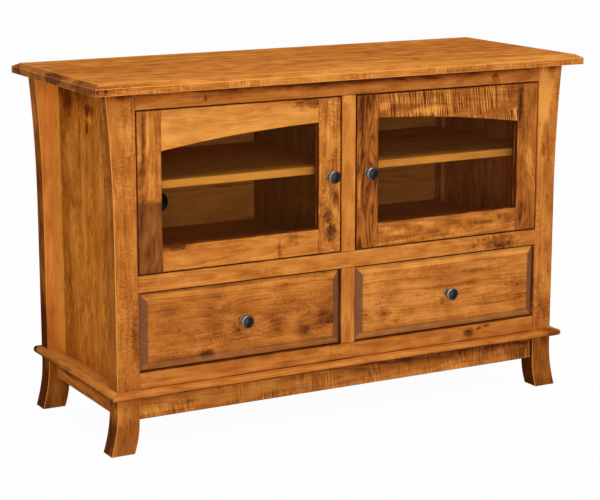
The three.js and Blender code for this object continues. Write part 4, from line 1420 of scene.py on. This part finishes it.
class Inside(bpy.types.Operator):
    """Finishes the panels and boards that keep their shape, and makes the two shelves"""

    bl_idname = "cabinet.inside"
    bl_label = "Panels, deck and shelves"

    def execute(self, context):
        for node in ("side_panel_left", "side_panel_right", "deck_board", "centre_partition", "back_panel"):
            dress(node, maple(node, BOARDS[node]))
        for name, sign in SIDES:
            node = "shelf_" + name
            post = "post_rear_" + name
            low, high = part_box(node)
            notch_x = sides_of(post, sign)[0]
            notch_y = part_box(post)[0].y
            piece = block(node + "_finished", low, (high.x, notch_y, high.z))
            with editing(piece):
                bisect(X, notch_x)
                pick(piece, "faces", (Y, notch_y), but=[(X, notch_x, sides_of(node, sign)[1])])
                extrude(y=high.y - notch_y)
            tidy(piece)
            finish_board(piece, node, ends(node, X) + ends(node, Y)[1:])
        return {"FINISHED"}


class Grommets(bpy.types.Operator):
    """Makes the rubber plugs in the cable holes: a rim, a dished face and a nib to pull them out by"""

    bl_idname = "cabinet.grommets"
    bl_label = "Cable plugs"

    def execute(self, context):
        doors = context.scene.cabinet_doors
        low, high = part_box("back_panel")
        middle = (low.y + high.y) / 2
        depth = high.y - low.y - PLUG_RECESS
        radius = doors.cable_radius - PLUG_PLAY
        for name, sign in SIDES:
            centre = (sign * doors.cable_x, middle, doors.cable_z)
            plug = rod("cable_plug_" + name, centre, radius, depth, sides=64)
            with editing(plug):
                for way in (-1, 1):
                    pick(plug, "faces", (Y, middle + way * depth / 2))
                    bpy.ops.mesh.inset(thickness=PLUG_RIM)
                    extrude(y=-way * PLUG_DISH)
                    bpy.ops.mesh.inset(thickness=radius - PLUG_RIM - PLUG_NIB)
                    extrude(y=way * PLUG_DISH / 2)
            round_edges(plug, radius=PLUG_ROUNDING)
            plug.data.materials.append(shared(black_rubber))
            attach(plug, "cabinet")
        return {"FINISHED"}


class Doors(bpy.types.Operator):
    """Makes the door frames, rebated for the glass, with one arch over both doors"""

    bl_idname = "cabinet.doors"
    bl_label = "Door frames"

    def execute(self, context):
        doors = context.scene.cabinet_doors
        for name, sign in SIDES:
            rail_low, rail_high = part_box(f"door_{name}_bottom_rail")
            arch_low, arch_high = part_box(f"door_{name}_top_rail")
            crown = arch_high.z - doors.arch_rail
            window = (rail_low.x, rail_high.x, rail_high.z, crown)
            for part in ("hinge_stile", "pull_stile", "bottom_rail", "top_rail"):
                node = f"door_{name}_{part}"
                low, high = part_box(node)
                front = low.y + doors.lip
                piece = block(node + "_finished", low, (high.x, front, high.z))
                with editing(piece):
                    if part == "top_rail":
                        self.arch(context, piece, low, high, crown)
                    self.rebate(piece, window, doors.lap, front, high.y)
                tidy(piece)
                joints = ends(node, X)
                if part.endswith("stile"):
                    with editing(piece):
                        bisect(Z, rail_high.z, arch_low.z)
                    inner = rail_low.x if low.x < rail_low.x else rail_high.x
                    spans = ((low.z, rail_high.z), (arch_low.z, high.z))
                    joints = [[(X, inner), (Z, *span)] for span in spans]
                round_edges(piece, joints)
                if part == "hinge_stile":
                    for place in ("lower", "upper"):
                        cut_away(piece, rod("cup_bore", *cup_seat(context, name, sign, place)))
                settle(piece, node, maple(node, BOARDS[node]))
        return {"FINISHED"}

    def rebate(self, piece, window, lap, front, back):
        """Extrudes the back of a member, but not where the rebate for the glass runs"""
        left, right, bottom, top = (place + lap * way for place, way in zip(window, (-1, 1, -1, 1)))
        bisect(X, left, right)
        bisect(Z, bottom, top)
        pick(piece, "faces", (Y, front), but=[(X, left, right), (Z, bottom, top)])
        extrude(y=back - front)

    def arch(self, context, piece, low, high, crown):
        """Lets the lower edge of a top rail follow one circle over both doors"""
        rise = context.scene.cabinet_doors.arch_rise
        steps = context.scene.cabinet_case.sweep_steps
        reach = max(abs(low.x), abs(high.x))
        radius = (reach**2 + rise**2) / (2 * rise)
        pick(piece, "edges", lambda edge: runs(edge, X))
        bpy.ops.mesh.subdivide(number_cuts=steps - 1)
        for i in range(steps + 1):
            x = low.x + (high.x - low.x) * i / steps
            pick(piece, "verts", (X, x), (Z, low.z))
            shift(z=crown - radius + math.sqrt(radius**2 - x**2) - low.z)


def cup_seat(context, name, sign, place):
    """Middle, radius and depth of the bore for a hinge cup, open at the back of the door"""
    doors = context.scene.cabinet_doors
    stile = f"door_{name}_hinge_stile"
    low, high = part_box(f"hinge_{name}_{place}")
    x = sides_of(stile, sign)[1] - sign * doors.cup_centre
    middle = Vector((x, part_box(stile)[1].y - (CUP_DEPTH - BORE_OVERRUN) / 2, (low.z + high.z) / 2))
    return middle, doors.cup / 2, CUP_DEPTH + BORE_OVERRUN


class GlassAndBeads(bpy.types.Operator):
    """Finishes the panes and makes the beads that hold them from behind"""

    bl_idname = "cabinet.glass"
    bl_label = "Glass and beads"

    def execute(self, context):
        doors = context.scene.cabinet_doors
        wide = doors.lap
        for name, _ in SIDES:
            node = f"door_{name}_glass"
            stile = f"door_{name}_pull_stile"
            dress(node, shared(float_glass))
            low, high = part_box(node)
            front = high.y + BEAD_PLAY
            spans = {
                "top": (low.x, high.z - wide, high.x, high.z, "xzy"),
                "bottom": (low.x, low.z, high.x, low.z + wide, "xzy"),
                "left": (low.x, low.z + wide, low.x + wide, high.z - wide, "zxy"),
                "right": (high.x - wide, low.z + wide, high.x, high.z - wide, "zxy"),
            }
            for place, (left, bottom, right, top, grain) in spans.items():
                box = ((left, front, bottom), (right, front + doors.bead, top))
                piece = block(f"door_{name}_bead_{place}", *box)
                round_edges(piece)
                board = Board(grain, BEAD_SEED + len(place), tone=0.8, flecks=0.2)
                settle(piece, stile, maple(piece.name, board, box), SLOT_OF[stile])
        return {"FINISHED"}


class DrawerFronts(bpy.types.Operator):
    """Makes the drawer fronts, with a bevel all round"""

    bl_idname = "cabinet.drawer_fronts"
    bl_label = "Drawer fronts"

    def execute(self, context):
        doors = context.scene.cabinet_doors
        for name, _ in SIDES:
            node = f"drawer_{name}_front"
            low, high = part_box(node)
            shoulder = low.y + doors.front_drop
            piece = block(node + "_finished", (low.x, shoulder, low.z), high)
            with editing(piece):
                pick(piece, "faces", (Y, shoulder))
                bpy.ops.mesh.inset(thickness=doors.front_bevel, depth=doors.front_drop)
            finish_board(piece, node)
        return {"FINISHED"}


class DrawerBoxes(bpy.types.Operator):
    """Finishes the drawer boxes and runners in clear maple, with eased upper edges"""

    bl_idname = "cabinet.drawer_boxes"
    bl_label = "Drawer boxes and runners"

    def execute(self, context):
        for later, (name, _) in zip((0, 5), SIDES):
            for pattern, (grain, seed) in DRAWER_WOOD.items():
                node = pattern.format(name)
                board = Board(grain, seed + later, 0.3, 0.45, flecks=0.25, streaks=0.15, palette="pale_")
                finish = maple(node, board)
                if node.endswith(("side", "back")):
                    piece = merged_copy(node)
                    round_edges(piece, radius=EASED)
                    settle(piece, node, finish)
                else:
                    dress(node, finish)
        return {"FINISHED"}


def merged_copy(node):
    """A copy of a node with its loose triangles merged into clean faces"""
    piece = copied(frame["nodes"][node], node + "_finished")
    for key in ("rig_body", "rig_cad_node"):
        del piece[key]
    piece.parent = None
    piece.hide_render = False
    piece.hide_viewport = False
    tidy(piece)
    return piece


class Knobs(bpy.types.Operator):
    """Makes one knob by extruding a disc outwards ring by ring, and copies it to each door and drawer"""

    bl_idname = "cabinet.knobs"
    bl_label = "Knobs"

    def execute(self, context):
        nodes = [f"{kind}_{name}_knob" for kind in ("door", "drawer") for name, _ in SIDES]
        low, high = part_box(nodes[0])
        radius = (high.x - low.x) / 2
        projection = high.y - low.y
        centre = Vector(((low.x + high.x) / 2, high.y, (low.z + high.z) / 2))
        wide, reach = KNOB_SHARES[0]
        foot = reach * projection
        first = rod(nodes[0] + "_finished", centre - Vector((0, foot / 2, 0)), wide * radius, foot)
        with editing(first):
            pick(first, "faces", (Y, high.y - foot))
            for next_wide, next_reach in KNOB_SHARES[1:]:
                extrude(y=(reach - next_reach) * projection)
                middle = (centre.x, high.y - next_reach * projection, centre.z)
                ratio = next_wide / wide
                bpy.ops.transform.resize(value=(ratio, 1, ratio), center_override=middle)
                wide, reach = next_wide, next_reach
        self.rub(first, centre, radius, high.y - KNOB_SHARES[1][1] * projection)
        choose(first)
        bpy.ops.object.shade_smooth_by_angle(angle=KNOB_SMOOTH)
        for node in nodes[1:]:
            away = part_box(node)[0] - low
            settle(copied(first, node + "_finished", away), node, shared(blackened_steel))
        settle(first, nodes[0], shared(blackened_steel))
        return {"FINISHED"}

    def rub(self, piece, centre, radius, neck):
        """Marks a painted highlight on the knob, strongest on its rim and on the lit side"""
        arris = piece.data.attributes.new("arris", "FLOAT", "POINT")
        for vertex in piece.data.vertices:
            across, _, up = vertex.co - centre
            facing = 0.5 + 0.5 * math.cos(math.atan2(up, across) - KNOB_LIT_SIDE)
            if math.hypot(across, up) > KNOB_RIM * radius:
                share = RIM_HIGHLIGHT
            elif vertex.co.y > neck:
                share = FOOT_HIGHLIGHT
            else:
                share = FACE_HIGHLIGHT
            arris.data[vertex.index].value = facing**2 * share


class Hinges(bpy.types.Operator):
    """Makes the concealed hinges: plate, arm and knuckle on the case, cup and screw tabs in the door"""

    bl_idname = "cabinet.hinges"
    bl_label = "Hinges"

    def execute(self, context):
        for name, sign in SIDES:
            for place in ("lower", "upper"):
                node = f"hinge_{name}_{place}"
                piece = merged_copy(node)
                round_edges(piece, radius=EASED)
                settle(piece, node, shared(nickel_plate))
                self.cup(context, name, sign, place)
        return {"FINISHED"}

    def cup(self, context, name, sign, place):
        """The pressed cup, open to the back, and the tabs that hold it in the door"""
        stile = f"door_{name}_hinge_stile"
        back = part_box(stile)[1].y
        middle, radius, _ = cup_seat(context, name, sign, place)
        centre = (middle.x, back - CUP_DEPTH / 2, middle.z)
        cup = rod(
            f"door_{name}_hinge_cup_{place}", centre, radius - CUP_PLAY, CUP_DEPTH - 2 * CUP_PLAY
        )
        with editing(cup):
            pick(cup, "faces", (Y, back - CUP_PLAY))
            bpy.ops.mesh.inset(thickness=CUP_WALL)
            extrude(y=2 * CUP_WALL - CUP_DEPTH)
        made = [cup]
        for part, way in (("bottom", -1), ("top", 1)):
            far = middle.z + way * TAB_REACH
            left, right = (middle.x + side * TAB_WIDTH / 2 for side in (-1, 1))
            near = (left, back + TOUCH, middle.z + way * (radius + CUP_PLAY))
            tab = block(f"door_{name}_hinge_tab_{place}_{part}", near, (right, back + TAB_THICKNESS, far))
            with editing(tab):
                pick(tab, "edges", (Z, far), lambda edge: runs(edge, Y))
                bpy.ops.mesh.bevel(offset=TAB_WIDTH * SMALL_BEVEL, segments=6, affect="EDGES")
            made.append(tab)
        for piece in made:
            round_edges(piece, radius=PRESSED)
            settle(piece, stile, shared(nickel_plate), slot="nickel")


def screw_head(name, foot, axis):
    """A pan head with a cross recess, which stands on a surface and looks along an axis"""
    out = along(axis) * HEAD_HEIGHT
    head = rod(name, foot + out / 2, HEAD_RADIUS, HEAD_HEIGHT, axis, sides=32)
    top = foot + out
    with editing(head):
        pick(head, "faces", (axis, top[axis]))
        bpy.ops.mesh.bevel(offset=HEAD_HEIGHT * SMALL_BEVEL, segments=3, affect="EDGES")
    one, other = (along(flat) for flat in (X, Y, Z) if flat != axis)
    for long_way, short_way in ((one, other), (other, one)):
        half = long_way * RECESS_LENGTH + short_way * RECESS_WIDTH + out / 2
        cut_away(head, block("screw_recess", top - half, top + half))
    choose(head)
    bpy.ops.object.shade_smooth_by_angle(angle=HEAD_SMOOTH)
    return head


class Screws(bpy.types.Operator):
    """Makes one screw head for each direction, and copies it to the hinges, the doors and the drawers"""

    bl_idname = "cabinet.screws"
    bl_label = "Screws"

    def execute(self, context):
        first = {}
        made = []
        for name, foot, axis, node in self.places(context):
            if axis in first:
                head, start = first[axis]
                mirrored = axis == X and foot.x * start.x < 0
                start = Vector((-start.x, start.y, start.z)) if mirrored else start
                made.append((copied(head, name, foot - start, mirrored), node))
            else:
                first[axis] = (screw_head(name, foot, axis), foot)
                made.append((first[axis][0], node))
        for head, node in made:
            settle(head, node, shared(nickel_plate), slot="nickel")
        return {"FINISHED"}

    def places(self, context):
        """Name, foot, axis and node of each screw head"""
        for name, sign in SIDES:
            for place in ("lower", "upper"):
                node = f"hinge_{name}_{place}"
                low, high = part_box(node)
                outer = sides_of(node, sign)[1]
                middle = (low.z + high.z) / 2
                for part, (thickness, spots) in HINGE_SCREWS.items():
                    for i, (into, up) in enumerate(spots):
                        foot = Vector((outer - sign * thickness, low.y + into, middle + up))
                        yield f"{node}_{part}_screw_{i + 1}", foot, X, node
                stile = f"door_{name}_hinge_stile"
                seat = cup_seat(context, name, sign, place)[0]
                for i, up in enumerate((-TAB_SCREW, TAB_SCREW)):
                    foot = Vector((seat.x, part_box(stile)[1].y + TAB_THICKNESS, seat.z + up))
                    yield f"door_{name}_hinge_screw_{place}_{i + 1}", foot, Y, stile
            for kind, board in (("door", "pull_stile"), ("drawer", "front")):
                low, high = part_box(f"{kind}_{name}_knob")
                node = f"{kind}_{name}_{board}"
                foot = Vector(((low.x + high.x) / 2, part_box(node)[1].y, (low.z + high.z) / 2))
                yield f"{kind}_{name}_knob_screw", foot, Y, node


# Stage


def lamp(name, place, size, power):
    """A square soft lamp that faces the cabinet"""
    bpy.ops.object.select_all(action="DESELECT")
    bpy.ops.object.light_add(type="AREA", location=place)
    made = bpy.context.object
    made.name = name
    made.data.shape = "SQUARE"
    made.data.size = size
    made.data.energy = power
    made.rotation_euler = (Vector(LAMP_TARGET) - Vector(place)).to_track_quat("-Z", "Y").to_euler()
    return made


def seen_white(tree):
    """1 for the rays that should meet the white background: from the camera, a mirror or through glass"""
    rays = add(tree, "LightPath").node.outputs
    some = add(tree, "Math", rays["Is Camera Ray"], rays["Is Glossy Ray"], operation="ADD")
    return add(tree, "Math", some, rays["Is Transmission Ray"], operation="ADD", use_clamp=True)


def studio_floor():
    """Matt white studio floor: it looks white and keeps a soft shadow"""
    material, tree = new_material("studio_floor")
    matt = add(tree, "BsdfDiffuse", bpy.context.scene.cabinet_stage.floor)
    glow = add(tree, "Emission", WHITE, 1)
    share = add(tree, "Math", seen_white(tree), FLOOR_GLOW, operation="MULTIPLY")
    add(tree, "OutputMaterial", add(tree, "MixShader", share, matt, glow))
    return material


class Stage(bpy.types.Operator):
    """Makes the floor, the lamps, the white surroundings and the camera"""

    bl_idname = "cabinet.stage"
    bl_label = "Stage"

    def execute(self, context):
        stage = context.scene.cabinet_stage
        bpy.ops.object.select_all(action="DESELECT")
        bpy.ops.mesh.primitive_plane_add(size=stage.floor_size)
        floor = bpy.context.object
        floor.name = "studio_floor"
        floor.data.materials.append(studio_floor())
        lamp("key_lamp", *KEY_LAMP, stage.key_power)
        lamp("fill_lamp", *FILL_LAMP, stage.fill_power)
        lamp("back_lamp", *BACK_LAMP, stage.back_power).visible_glossy = False
        self.surroundings(context, stage)
        self.camera(context, stage)
        context.scene.view_settings.view_transform = "Standard"
        return {"FINISHED"}

    def surroundings(self, context, stage):
        """White to the camera and to reflections, softer as a light"""
        world = bpy.data.worlds.new("studio")
        context.scene.world = world
        world.use_nodes = True
        tree = world.node_tree
        tree.nodes.clear()
        strength = add(tree, "Mix", seen_white(tree), stage.ambient, 1, data_type="FLOAT")
        add(tree, "OutputWorld", add(tree, "Background", WHITE, strength))

    def camera(self, context, stage):
        """The camera at the photograph's place"""
        bpy.ops.object.camera_add(
            location=stage.place, rotation=(math.pi / 2 - stage.tilt, 0, -stage.turn)
        )
        camera = bpy.context.object
        camera.name = "camera"
        camera.data.lens = stage.lens
        camera.data.sensor_width = stage.sensor
        context.scene.camera = camera


class CabinetPanel(bpy.types.Panel):
    """Lists the steps that finish the cabinet"""

    bl_idname = "VIEW3D_PT_cabinet"
    bl_label = "Maple media cabinet"
    bl_space_type = "VIEW_3D"
    bl_region_type = "UI"
    bl_category = "Cabinet"

    def draw(self, context):
        for step in STEPS:
            self.layout.operator(step.bl_idname)
        for name in SETTINGS:
            group = getattr(context.scene, name)
            part = self.layout.box()
            for key in group.__annotations__:
                part.prop(group, key)


STEPS = (
    TopBoard, Posts, Feet, FaceFrame, Base, Inside, Grommets, Doors, GlassAndBeads, DrawerFronts,
    DrawerBoxes, Knobs, Hinges, Screws, Stage,
)


def register():
    """Registers the settings, the steps and the panel"""
    for name, group in SETTINGS.items():
        bpy.utils.register_class(group)
        setattr(bpy.types.Scene, name, PointerProperty(type=group))
    for step in STEPS:
        bpy.utils.register_class(step)
    bpy.utils.register_class(CabinetPanel)


def unregister():
    """Takes the settings, the steps and the panel away again"""
    bpy.utils.unregister_class(CabinetPanel)
    for step in reversed(STEPS):
        bpy.utils.unregister_class(step)
    for name, group in SETTINGS.items():
        delattr(bpy.types.Scene, name)
        bpy.utils.unregister_class(group)


def main():
    """Finishes every piece in order"""
    register()
    for step in STEPS:
        family, name = step.bl_idname.split(".")
        getattr(getattr(bpy.ops, family), name)()


if __name__ == "__main__":
    main()
